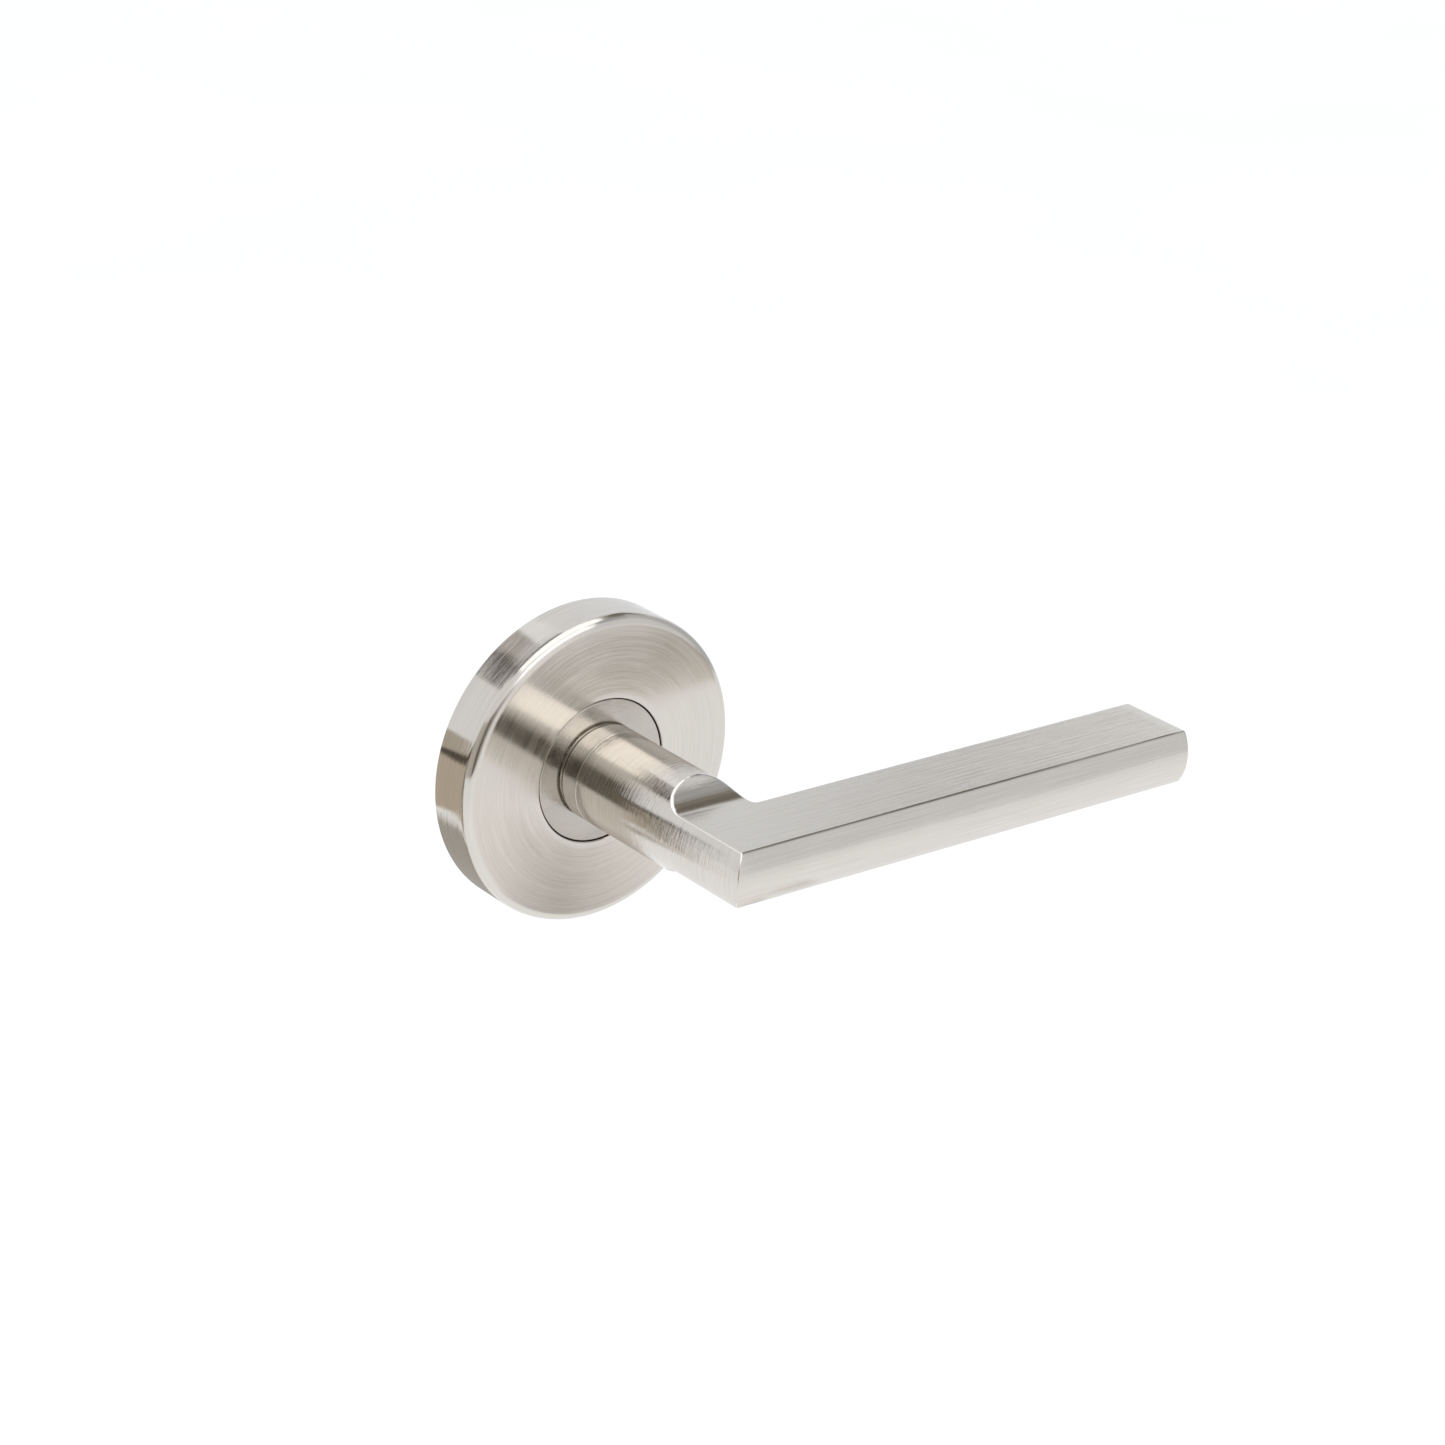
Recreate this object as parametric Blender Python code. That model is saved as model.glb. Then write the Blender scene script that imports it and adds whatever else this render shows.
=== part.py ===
"""Door lever handle on a round sprung rose: one half of a pair, for one side of a door.

Metres, +Z up. The origin is on the spindle's axis in the plane of the door's face. The lever
stands out from the door along -Y, its grip runs along +X, and the spindle and the two bolt posts
go into the door along +Y. A depth is a distance in front of the door's face, so y = -depth.
"""

import math

import bmesh
import bpy
from mathutils import Matrix, Vector

# Clearances on a radius or a face, and how far a cutter runs past the piece that it cuts
GAP = 0.0003
HOLE_CLEARANCE = 0.0002
BORE_CLEARANCE = 0.00015
SEAT_CLEARANCE = 0.0001
PAST = 0.0010

# Steps round a turned piece
TURNED_STEPS = 56
BAR_STEPS = 44
SMALL_STEPS = 20
TINY_STEPS = 16

# Rose
ROSE_R = 0.0325
ROSE_FRONT = 0.0110
ROSE_EDGE_ROUND = 0.0021
ROSE_WALL = 0.0014
ROSE_HOLE_R = 0.0152
ROSE_RIM = 0.0001

# Neck and grip
GRIP_R = 0.01005
GRIP_HALF_THICKNESS = 0.0057
GRIP_DEPTH = 0.05586
TIP_X = 0.10985
COVE_R = 0.0070
COVE_FOOT_DEPTH = 0.04575
NECK_START = 0.01615
SOCKET_R = 0.0078
SOCKET_END = 0.0300

# Neck ring
RING_START = 0.0117
RING_END = 0.01585
RING_BORE_R = 0.0083

# Spring housing, cast in one with the mounting plate
PLATE_R = ROSE_R - ROSE_WALL - GAP
PLATE_THICKNESS = 0.0028
STEP_R = 0.0202
STEP_FRONT = 0.0062
BOSS_R = ROSE_HOLE_R - GAP
BOSS_FRONT = 0.0107
CAGE_R = 0.0127
CAGE_REAR = 0.0036
CAM_POCKET_REAR = 0.0077
CAM_POCKET_R = 0.0109
ARM_POCKET_R = 0.0126
CAGE_FRONT = 0.0094
BUSH_SEAT_R = 0.0091
REAR_RECESS_R = 0.0169
ARM_POCKET_REAR = 0.0072
SPRING_NOTCH_R = 0.0156
SPRING_NOTCH_INNER_R = 0.0122
SPRING_NOTCH_HALF_WIDTH = 0.00095
SPRING_NOTCH_REAR = 0.0030
SPRING_NOTCH_FRONT = 0.0060

# Lug on the mounting plate, and the set screw in it that holds the cover
COVER_GRUB_R = 0.0015
COVER_GRUB_DEPTH = 0.0043
COVER_GRUB_TIP_Z = -0.0272
COVER_GRUB_END_Z = -0.0321
COVER_LUG_TOP_Z = -0.0268
COVER_LUG_HALF_WIDTH = 0.0035
COVER_LUG_REAR = 0.0010
COVER_LUG_FRONT = 0.0064

# Back plate of the housing and its screws
BACK_PLATE_REAR = 0.0023
BACK_PLATE_BORE_R = 0.0086
CAGE_SCREW_RADIUS = 0.0148
CAGE_SCREW_ANGLES = [math.radians(angle) for angle in (0, 120, 240)]
CAGE_SCREW_R = 0.0011
CAGE_SCREW_HEAD_R = 0.0018
CAGE_SCREW_HEAD_HEIGHT = 0.0007
CAGE_SCREW_END = 0.0055
CAGE_SCREW_SLOT_FRONT = 0.0026
CAGE_SCREW_SLOT_WIDTH = 0.0004
COUNTERSINK_SMALL_R = 0.0015
COUNTERSINK_LARGE_R = 0.0027
COUNTERSINK_DEPTH = 0.0040
COUNTERSINK_MIDDLE = 0.0025

# Bushes
FRONT_FLANGE_R = 0.0096
REAR_BUSH_R = 0.0084
REAR_FLANGE_R = 0.0098
REAR_FLANGE_THICKNESS = 0.0004

# Turning parts
JOURNAL_R = 0.0080
REAR_JOURNAL_R = 0.0070
CAM_SEAT_R = 0.00785
CAM_SEAT_FLAT = 0.0062
CAM_SEAT_REAR = 0.0078
CAM_SEAT_FRONT = 0.00925
TENON_R = 0.0075
TENON_END = 0.0285
HUB_REAR = 0.0002
HUB_SHOULDER = 0.0160
HUB_SQUARE_END = 0.0276
CLIP_GROOVE_R = 0.0064
CLIP_GROOVE_REAR = 0.0006
CLIP_GROOVE_FRONT = 0.0014
CLIP_R = 0.0088
CLIP_REAR = 0.00075
CLIP_FRONT = 0.00130
CLIP_HALF_MOUTH = math.radians(28)
WASHER_R = 0.0100
WASHER_REAR = 0.0016
WASHER_FRONT = 0.0021
CAM_REAR = 0.0081
CAM_FRONT = 0.0091
CAM_R = 0.0106
CAM_ARM_R = 0.0123
CAM_ARM_HALF_ANGLE = math.radians(15)
STOP_CLEARANCE = math.radians(51.5)

# Spindle and its fixings
SPINDLE_SIDE = 0.0080
SPINDLE_CHAMFER = 0.0004
SPINDLE_FRONT = 0.0272
SPINDLE_END_Y = 0.0240
PIN_R = 0.0012
PIN_DEPTH = 0.0252
GRUB_R = 0.0020
GRUB_DEPTH = 0.0210

# Door fixings
POST_SPACING = 0.0440
POST_R = 0.0030
POST_HEAD_R = 0.0042
POST_HEAD_HEIGHT = 0.0010
POST_CHAMFER = 0.0003
POST_THREAD_R = 0.00165
POST_END_Y = 0.0100
POST_BORE_END_Y = 0.0015
POST_BORE_TIP_Y = 0.0007

# Return spring
WIRE_R = 0.00065
SPRING_R = 0.0095
SPRING_TURNS = 1.5
SPRING_REAR = 0.0050
SPRING_PITCH = 0.00145
SPRING_LEG_END_X = -0.0152
SPRING_LEG_BEND_X = -0.0125
SPRING_LEG_FOOT_X = -0.0106
SPRING_LEG_TURN = 0.02


def clear_scene():
    for obj in list(bpy.data.objects):
        bpy.data.objects.remove(obj, do_unlink=True)


def make_material(name, colour, roughness, metallic):
    material = bpy.data.materials.new(name)
    material.use_nodes = True
    shader = material.node_tree.nodes["Principled BSDF"]
    shader.inputs["Base Color"].default_value = (*colour, 1.0)
    shader.inputs["Roughness"].default_value = roughness
    shader.inputs["Metallic"].default_value = metallic
    return material


def make_axis_empty(name):
    empty = bpy.data.objects.new(name, None)
    empty.empty_display_size = 0.01
    bpy.context.scene.collection.objects.link(empty)
    return empty


def make_object(name, bm, material, parent, sharp_angle=math.radians(28)):
    bmesh.ops.recalc_face_normals(bm, faces=bm.faces)
    mesh = bpy.data.meshes.new(name)
    bm.to_mesh(mesh)
    bm.free()
    mesh.materials.append(material)
    mesh.shade_smooth()
    mesh.set_sharp_from_angle(angle=sharp_angle)
    obj = bpy.data.objects.new(name, mesh)
    bpy.context.scene.collection.objects.link(obj)
    obj.parent = parent
    return obj


def make_cutter(name, bm):
    bmesh.ops.recalc_face_normals(bm, faces=bm.faces)
    mesh = bpy.data.meshes.new(name)
    bm.to_mesh(mesh)
    bm.free()
    cutter = bpy.data.objects.new(name, mesh)
    bpy.context.scene.collection.objects.link(cutter)
    cutter.hide_render = True
    cutter.display_type = "WIRE"
    return cutter


def combine(obj, other, operation="DIFFERENCE"):
    """Adds an exact Boolean of obj with a helper object."""
    modifier = obj.modifiers.new(other.name, "BOOLEAN")
    modifier.operation = operation
    modifier.solver = "EXACT"
    modifier.object = other


def turned(profile, steps=TURNED_STEPS):
    """A closed profile of (radius, depth) points spun about the Y axis.

    A side of the profile that lies on the axis makes no face.
    """
    bm = bmesh.new()
    verts = [bm.verts.new((radius, -depth, 0)) for radius, depth in profile]
    sides = zip(verts, verts[1:] + verts[:1])
    edges = [bm.edges.new((a, b)) for a, b in sides if a.co.x > 0 or b.co.x > 0]
    bmesh.ops.spin(
        bm,
        geom=verts + edges,
        axis=(0, 1, 0),
        cent=(0, 0, 0),
        angle=2 * math.pi,
        steps=steps,
        use_merge=True,
    )
    bmesh.ops.remove_doubles(bm, verts=bm.verts, dist=1e-7)
    bmesh.ops.dissolve_degenerate(bm, edges=bm.edges, dist=1e-7)
    return bm


def extruded(outline, rear, front):
    """An outline of (x, z) points as a plate between two depths."""
    bm = bmesh.new()
    face = bm.faces.new([bm.verts.new((x, -rear, z)) for x, z in outline])
    made = bmesh.ops.extrude_face_region(bm, geom=[face])
    moved = [item for item in made["geom"] if isinstance(item, bmesh.types.BMVert)]
    bmesh.ops.translate(bm, verts=moved, vec=(0, rear - front, 0))
    return bm


def cylinder(radius, start, end, steps=SMALL_STEPS):
    """A round bar from one point to another."""
    along = Vector(end) - Vector(start)
    bm = bmesh.new()
    bmesh.ops.create_cone(
        bm,
        cap_ends=True,
        segments=steps,
        radius1=radius,
        radius2=radius,
        depth=along.length,
    )
    turn = along.to_track_quat("Z", "Y").to_matrix().to_4x4()
    place = Matrix.Translation((Vector(start) + Vector(end)) / 2) @ turn
    bmesh.ops.transform(bm, matrix=place, verts=bm.verts)
    return bm


def box(low, high):
    low = Vector(low)
    high = Vector(high)
    bm = bmesh.new()
    bmesh.ops.create_cube(bm, size=1)
    bmesh.ops.scale(bm, vec=high - low, verts=bm.verts)
    bmesh.ops.translate(bm, vec=(low + high) / 2, verts=bm.verts)
    return bm


def polar(radius, angle):
    return radius * math.cos(angle), radius * math.sin(angle)


def arc(radius, start, end, steps, centre=(0, 0)):
    """Points on an arc, from one angle to another."""
    points = []
    for i in range(steps + 1):
        x, y = polar(radius, start + (end - start) * i / steps)
        points.append((centre[0] + x, centre[1] + y))
    return points


def flatted_round(radius, flat, steps=48):
    """A round with four flats at this distance from its centre."""
    points = []
    for i in range(steps):
        angle = 2 * math.pi * i / steps
        reach = flat / max(abs(math.cos(angle)), abs(math.sin(angle)))
        points.append(polar(min(radius, reach), angle))
    return points


def hexagon(across_flats):
    return [polar(across_flats / math.sqrt(3), math.radians(60 * i)) for i in range(6)]


# Fixed pieces


def make_rose_cover(material, parent):
    """The visible dished shell: side wall, rounded edge and flat face with the boss's hole."""
    inner_r = ROSE_R - ROSE_WALL
    inner_front = ROSE_FRONT - ROSE_WALL
    inner_round = ROSE_EDGE_ROUND - ROSE_WALL / 2
    edge_centre = (ROSE_R - ROSE_EDGE_ROUND, ROSE_FRONT - ROSE_EDGE_ROUND)
    profile = [(inner_r, ROSE_RIM), (ROSE_R, ROSE_RIM)]
    profile += arc(ROSE_EDGE_ROUND, 0, math.pi / 2, 6, edge_centre)
    profile += [(ROSE_HOLE_R, ROSE_FRONT), (ROSE_HOLE_R, inner_front)]
    profile += [(inner_r - inner_round, inner_front), (inner_r, inner_front - inner_round)]
    cover = make_object("rose_cover", turned(profile), material, parent)
    inside_z = -inner_r + 2 * PAST
    below_z = -ROSE_R - PAST
    hole = cylinder(
        COVER_GRUB_R + GAP, (0, -COVER_GRUB_DEPTH, inside_z), (0, -COVER_GRUB_DEPTH, below_z)
    )
    combine(cover, make_cutter("cut_cover_grub_hole", hole))
    return cover


def make_mounting_plate(material, parent):
    """Flange against the door and the spring housing whose boss shows in the rose's hole."""
    profile = [
        (REAR_RECESS_R, 0),
        (PLATE_R, 0),
        (PLATE_R, PLATE_THICKNESS),
        (STEP_R, PLATE_THICKNESS),
        (STEP_R, STEP_FRONT),
        (BOSS_R, STEP_FRONT),
        (BOSS_R, BOSS_FRONT),
        (BUSH_SEAT_R, BOSS_FRONT),
        (BUSH_SEAT_R, CAGE_FRONT),
        (CAM_POCKET_R, CAGE_FRONT),
        (CAM_POCKET_R, CAM_POCKET_REAR),
        (CAGE_R, CAM_POCKET_REAR),
        (CAGE_R, CAGE_REAR),
        (REAR_RECESS_R, CAGE_REAR),
    ]
    plate = make_object("mounting_plate", turned(profile), material, parent)

    lug_low_z = -math.sqrt(PLATE_R**2 - COVER_LUG_HALF_WIDTH**2) + SEAT_CLEARANCE
    lug = box(
        (-COVER_LUG_HALF_WIDTH, -COVER_LUG_FRONT, lug_low_z),
        (COVER_LUG_HALF_WIDTH, -COVER_LUG_REAR, COVER_LUG_TOP_Z),
    )
    combine(plate, make_cutter("join_cover_lug", lug), "UNION")
    thread_top = (0, -COVER_GRUB_DEPTH, COVER_LUG_TOP_Z + PAST)
    thread_end = (0, -COVER_GRUB_DEPTH, lug_low_z - PAST)
    grub = cylinder(COVER_GRUB_R + BORE_CLEARANCE, thread_top, thread_end)
    combine(plate, make_cutter("cut_lug_thread", grub))

    free_half_angle = CAM_ARM_HALF_ANGLE + STOP_CLEARANCE
    middle = -math.pi / 2
    sweep = arc(ARM_POCKET_R, middle - free_half_angle, middle + free_half_angle, 24)
    sweep += arc(CAM_POCKET_R - GAP, middle + free_half_angle, middle - free_half_angle, 24)
    pocket = extruded(sweep, ARM_POCKET_REAR, CAGE_FRONT + SEAT_CLEARANCE)
    combine(plate, make_cutter("cut_cam_arm_pocket", pocket))

    notch = box(
        (-SPRING_NOTCH_R, -SPRING_NOTCH_FRONT, -SPRING_NOTCH_HALF_WIDTH),
        (-SPRING_NOTCH_INNER_R, -SPRING_NOTCH_REAR, SPRING_NOTCH_HALF_WIDTH),
    )
    combine(plate, make_cutter("cut_spring_notch", notch))

    for i, angle in enumerate(CAGE_SCREW_ANGLES):
        x, z = polar(CAGE_SCREW_RADIUS, angle)
        thread_rear = (x, PAST - CAGE_REAR, z)
        thread_end = (x, -CAGE_SCREW_END - GAP, z)
        hole = cylinder(CAGE_SCREW_R + HOLE_CLEARANCE, thread_rear, thread_end, TINY_STEPS)
        combine(plate, make_cutter(f"cut_plate_thread_{i + 1}", hole))
    for sign, place in ((1, "upper"), (-1, "lower")):
        z = sign * POST_SPACING / 2
        seat_rear = PLATE_THICKNESS - SEAT_CLEARANCE
        hole_profile = [
            (0, -PAST),
            (POST_R + GAP, -PAST),
            (POST_R + GAP, seat_rear),
            (POST_HEAD_R + GAP, seat_rear),
            (POST_HEAD_R + GAP, STEP_FRONT + PAST),
            (0, STEP_FRONT + PAST),
        ]
        hole = turned(hole_profile, SMALL_STEPS)
        bmesh.ops.translate(hole, vec=(0, 0, z), verts=hole.verts)
        combine(plate, make_cutter(f"cut_post_hole_{place}", hole))
    return plate


def make_cage_back_plate(material, parent):
    """Steel disc that closes the spring housing from the door side and carries the rear bush."""
    radius = REAR_RECESS_R - GAP
    front = CAGE_REAR - GAP
    bore = BACK_PLATE_BORE_R
    profile = [(bore, BACK_PLATE_REAR), (radius, BACK_PLATE_REAR), (radius, front), (bore, front)]
    plate = make_object("cage_back_plate", turned(profile), material, parent)
    for i, angle in enumerate(CAGE_SCREW_ANGLES):
        x, z = polar(CAGE_SCREW_RADIUS, angle)
        hole = bmesh.new()
        bmesh.ops.create_cone(
            hole,
            cap_ends=True,
            segments=TINY_STEPS,
            radius1=COUNTERSINK_SMALL_R,
            radius2=COUNTERSINK_LARGE_R,
            depth=COUNTERSINK_DEPTH,
        )
        middle = Matrix.Translation((x, -COUNTERSINK_MIDDLE, z))
        place = middle @ Matrix.Rotation(-math.pi / 2, 4, "X")
        bmesh.ops.transform(hole, matrix=place, verts=hole.verts)
        combine(plate, make_cutter(f"cut_back_plate_hole_{i + 1}", hole))
    return plate


def make_cage_screw(index, material, parent):
    """Countersunk screw that holds the back plate in the housing, head towards the door."""
    x, z = polar(CAGE_SCREW_RADIUS, CAGE_SCREW_ANGLES[index])
    head_rear = BACK_PLATE_REAR - HOLE_CLEARANCE
    head_edge = 0.0001
    tip_chamfer = 0.0002
    profile = [
        (0, head_rear),
        (CAGE_SCREW_HEAD_R, head_rear),
        (CAGE_SCREW_HEAD_R, head_rear + head_edge),
        (CAGE_SCREW_R, head_rear + CAGE_SCREW_HEAD_HEIGHT),
        (CAGE_SCREW_R, CAGE_SCREW_END - tip_chamfer),
        (0, CAGE_SCREW_END),
    ]
    bm = turned(profile, TINY_STEPS)
    bmesh.ops.translate(bm, vec=(x, 0, z), verts=bm.verts)
    screw = make_object(f"cage_screw_{index + 1}", bm, material, parent)
    reach = CAGE_SCREW_HEAD_R + PAST
    half = CAGE_SCREW_SLOT_WIDTH / 2
    slot = box(
        (x - reach, -CAGE_SCREW_SLOT_FRONT, z - half), (x + reach, PAST - head_rear, z + half)
    )
    combine(screw, make_cutter(f"cut_screw_slot_{index + 1}", slot))
    return screw


def make_front_bush(material, parent):
    """Flanged plated bush in the boss, its flange set in a little behind the neck ring."""
    bore = JOURNAL_R + BORE_CLEARANCE
    outer = BUSH_SEAT_R - BORE_CLEARANCE
    rear = CAGE_FRONT + SEAT_CLEARANCE
    flange_rear = BOSS_FRONT + SEAT_CLEARANCE
    flange_front = RING_START - HOLE_CLEARANCE
    profile = [
        (bore, rear),
        (outer, rear),
        (outer, flange_rear),
        (FRONT_FLANGE_R, flange_rear),
        (FRONT_FLANGE_R, flange_front),
        (bore, flange_front),
    ]
    return make_object("front_bush", turned(profile), material, parent)


def make_rear_bush(material, parent):
    """Flanged nylon bush in the back plate, round the hub's rear journal."""
    bore = REAR_JOURNAL_R + BORE_CLEARANCE
    flange_rear = CAGE_REAR + SEAT_CLEARANCE
    flange_front = flange_rear + REAR_FLANGE_THICKNESS
    profile = [
        (bore, BACK_PLATE_REAR),
        (REAR_BUSH_R, BACK_PLATE_REAR),
        (REAR_BUSH_R, flange_rear),
        (REAR_FLANGE_R, flange_rear),
        (REAR_FLANGE_R, flange_front),
        (bore, flange_front),
    ]
    return make_object("rear_bush", turned(profile), material, parent)


def spring_leg_place():
    """Where the spring's front leg goes through the cam, as x and z."""
    return polar(SPRING_R, math.pi - 2 * math.pi * (SPRING_TURNS + SPRING_LEG_TURN))


def make_return_spring(material, parent):
    """Torsion spring: a radial leg in the housing's notch, the coil, and a leg in the cam."""
    leg = (SPRING_LEG_END_X, SPRING_LEG_BEND_X, SPRING_LEG_FOOT_X)
    points = [(x, -SPRING_REAR, 0) for x in leg]
    steps = int(round(SPRING_TURNS * 20))
    for i in range(1, steps + 1):
        turn = i / steps * SPRING_TURNS
        x, z = polar(SPRING_R, math.pi - 2 * math.pi * turn)
        points.append((x, -SPRING_REAR - SPRING_PITCH * turn, z))
    end_x, end_z = spring_leg_place()
    points.append((end_x, -CAM_REAR + GAP, end_z))
    points.append((end_x, -CAM_FRONT, end_z))
    curve = bpy.data.curves.new("return_spring", "CURVE")
    curve.dimensions = "3D"
    curve.bevel_depth = WIRE_R
    curve.bevel_resolution = 2
    curve.use_fill_caps = True
    spline = curve.splines.new("POLY")
    spline.points.add(len(points) - 1)
    for point, place in zip(spline.points, points):
        point.co = (*place, 1)
    curve.materials.append(material)
    spring = bpy.data.objects.new("return_spring", curve)
    bpy.context.scene.collection.objects.link(spring)
    spring.parent = parent
    return spring


def make_bolt_post(place, z, material, parent):
    """Threaded post riveted in the mounting plate: the other half's bolts go into its end."""
    head_rear = PLATE_THICKNESS + GAP
    head_front = head_rear + POST_HEAD_HEIGHT
    profile = [
        (0, head_front),
        (POST_HEAD_R - POST_CHAMFER, head_front),
        (POST_HEAD_R, head_front - POST_CHAMFER),
        (POST_HEAD_R, head_rear),
        (POST_R, head_rear),
        (POST_R, POST_CHAMFER - POST_END_Y),
        (POST_R - POST_CHAMFER, -POST_END_Y),
        (POST_THREAD_R, -POST_END_Y),
        (POST_THREAD_R, -POST_BORE_END_Y),
        (0, -POST_BORE_TIP_Y),
    ]
    bm = turned(profile, SMALL_STEPS)
    bmesh.ops.translate(bm, vec=(0, 0, z), verts=bm.verts)
    return make_object(f"bolt_post_{place}", bm, material, parent)


def make_grub_screw(name, radius, tip_z, end_z, depth, material, parent):
    """Socket set screw standing on end under the axis, its socket facing down."""
    chamfer = radius * 0.2
    profile = [
        (0, tip_z),
        (radius - chamfer, tip_z),
        (radius, tip_z - chamfer),
        (radius, end_z + chamfer / 2),
        (radius - chamfer / 2, end_z),
        (0, end_z),
    ]
    bm = turned([(r, -z) for r, z in profile], SMALL_STEPS)
    upright = Matrix.Translation((0, -depth, 0)) @ Matrix.Rotation(math.pi / 2, 4, "X")
    bmesh.ops.transform(bm, matrix=upright, verts=bm.verts)
    screw = make_object(name, bm, material, parent)
    socket_depth = 0.0016
    socket = extruded(hexagon(radius), end_z - PAST, end_z + socket_depth)
    bmesh.ops.transform(
        socket,
        matrix=Matrix.Translation((0, -depth, 0)) @ Matrix.Rotation(-math.pi / 2, 4, "X"),
        verts=socket.verts,
    )
    combine(screw, make_cutter(f"cut_{name}_socket", socket))
    return screw


# Pieces that turn with the lever


def make_lever_handle(material, parent):
    """Neck and grip: one round bar mitred at the corner, scooped and flattened top and bottom."""
    bm = bmesh.new()
    rings = []
    for start in range(3):
        ring = []
        for i in range(BAR_STEPS):
            across, up = polar(GRIP_R, 2 * math.pi * i / BAR_STEPS)
            places = (
                (across, -NECK_START, up),
                (across, -GRIP_DEPTH + across, up),
                (TIP_X, -GRIP_DEPTH + across, up),
            )
            ring.append(bm.verts.new(places[start]))
        rings.append(ring)
    for near, far in zip(rings, rings[1:]):
        for i in range(BAR_STEPS):
            j = (i + 1) % BAR_STEPS
            bm.faces.new((near[i], near[j], far[j], far[i]))
    bm.faces.new(rings[0])
    bm.faces.new(rings[-1])
    handle = make_object("lever_handle", bm, material, parent)

    beyond_grip = GRIP_DEPTH + 2 * GRIP_R
    over_grip = GRIP_R + 4 * PAST
    for sign, place in ((1, "top"), (-1, "bottom")):
        cove = arc(
            COVE_R,
            -math.pi / 2,
            -math.pi,
            10,
            (COVE_FOOT_DEPTH, GRIP_HALF_THICKNESS + COVE_R),
        )
        outline = [(beyond_grip, GRIP_HALF_THICKNESS), *cove]
        outline += [(COVE_FOOT_DEPTH - COVE_R, over_grip), (beyond_grip, over_grip)]
        cutter = bmesh.new()
        face = cutter.faces.new(
            [cutter.verts.new((-2 * GRIP_R, -depth, sign * z)) for depth, z in outline]
        )
        made = bmesh.ops.extrude_face_region(cutter, geom=[face])
        moved = [item for item in made["geom"] if isinstance(item, bmesh.types.BMVert)]
        bmesh.ops.translate(cutter, verts=moved, vec=(TIP_X + 3 * GRIP_R, 0, 0))
        combine(handle, make_cutter(f"cut_{place}_scoop", cutter))

    socket = cylinder(SOCKET_R, (0, PAST - NECK_START, 0), (0, -SOCKET_END, 0), BAR_STEPS)
    combine(handle, make_cutter("cut_socket", socket))
    thread_top = (0, -GRUB_DEPTH, -SOCKET_R + PAST)
    thread_end = (0, -GRUB_DEPTH, -GRIP_R - PAST)
    thread = cylinder(GRUB_R + BORE_CLEARANCE, thread_top, thread_end)
    combine(handle, make_cutter("cut_neck_thread", thread))
    return handle


def make_neck_ring(material, parent):
    """Plain collar between the rose and the neck."""
    profile = [
        (RING_BORE_R, RING_START),
        (GRIP_R, RING_START),
        (GRIP_R, RING_END),
        (RING_BORE_R, RING_END),
    ]
    return make_object("neck_ring", turned(profile), material, parent)


def pin_hole():
    """The cross hole for the spindle's pin, through the hub's tenon and the spindle."""
    reach = TENON_R + PAST
    rear = (-reach, -PIN_DEPTH, 0)
    return cylinder(PIN_R + HOLE_CLEARANCE, rear, (reach, -PIN_DEPTH, 0), TINY_STEPS)


def make_lever_hub(material, parent):
    """Turned shaft: rear journal, four-flatted cam seat, front journal and tenon in the neck."""
    profile = [
        (0, HUB_REAR),
        (REAR_JOURNAL_R, HUB_REAR),
        (REAR_JOURNAL_R, CLIP_GROOVE_REAR),
        (CLIP_GROOVE_R, CLIP_GROOVE_REAR),
        (CLIP_GROOVE_R, CLIP_GROOVE_FRONT),
        (REAR_JOURNAL_R, CLIP_GROOVE_FRONT),
        (REAR_JOURNAL_R, CAM_SEAT_REAR),
        (CAM_SEAT_R, CAM_SEAT_REAR),
        (CAM_SEAT_R, CAM_SEAT_FRONT),
        (JOURNAL_R, CAM_SEAT_FRONT),
        (JOURNAL_R, HUB_SHOULDER),
        (TENON_R, HUB_SHOULDER),
        (TENON_R, TENON_END),
        (0, TENON_END),
    ]
    hub = make_object("lever_hub", turned(profile, BAR_STEPS), material, parent)
    outside = JOURNAL_R + PAST
    seat_rear = CAM_SEAT_REAR - HOLE_CLEARANCE
    for i in range(4):
        flat = box(
            (CAM_SEAT_FLAT, -CAM_SEAT_FRONT, -outside), (outside, -seat_rear, outside)
        )
        spin = Matrix.Rotation(math.radians(90 * i), 4, "Y")
        bmesh.ops.transform(flat, matrix=spin, verts=flat.verts)
        combine(hub, make_cutter(f"cut_cam_seat_flat_{i + 1}", flat))
    half = SPINDLE_SIDE / 2 + BORE_CLEARANCE
    square = box((-half, -HUB_SQUARE_END, -half), (half, PAST, half))
    combine(hub, make_cutter("cut_spindle_square", square))
    pin = pin_hole()
    combine(hub, make_cutter("cut_hub_pin_hole", pin))
    thread_top = (0, -GRUB_DEPTH, PAST - half)
    thread_end = (0, -GRUB_DEPTH, -TENON_R - PAST)
    thread = cylinder(GRUB_R + BORE_CLEARANCE, thread_top, thread_end)
    combine(hub, make_cutter("cut_hub_thread", thread))
    return hub


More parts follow.
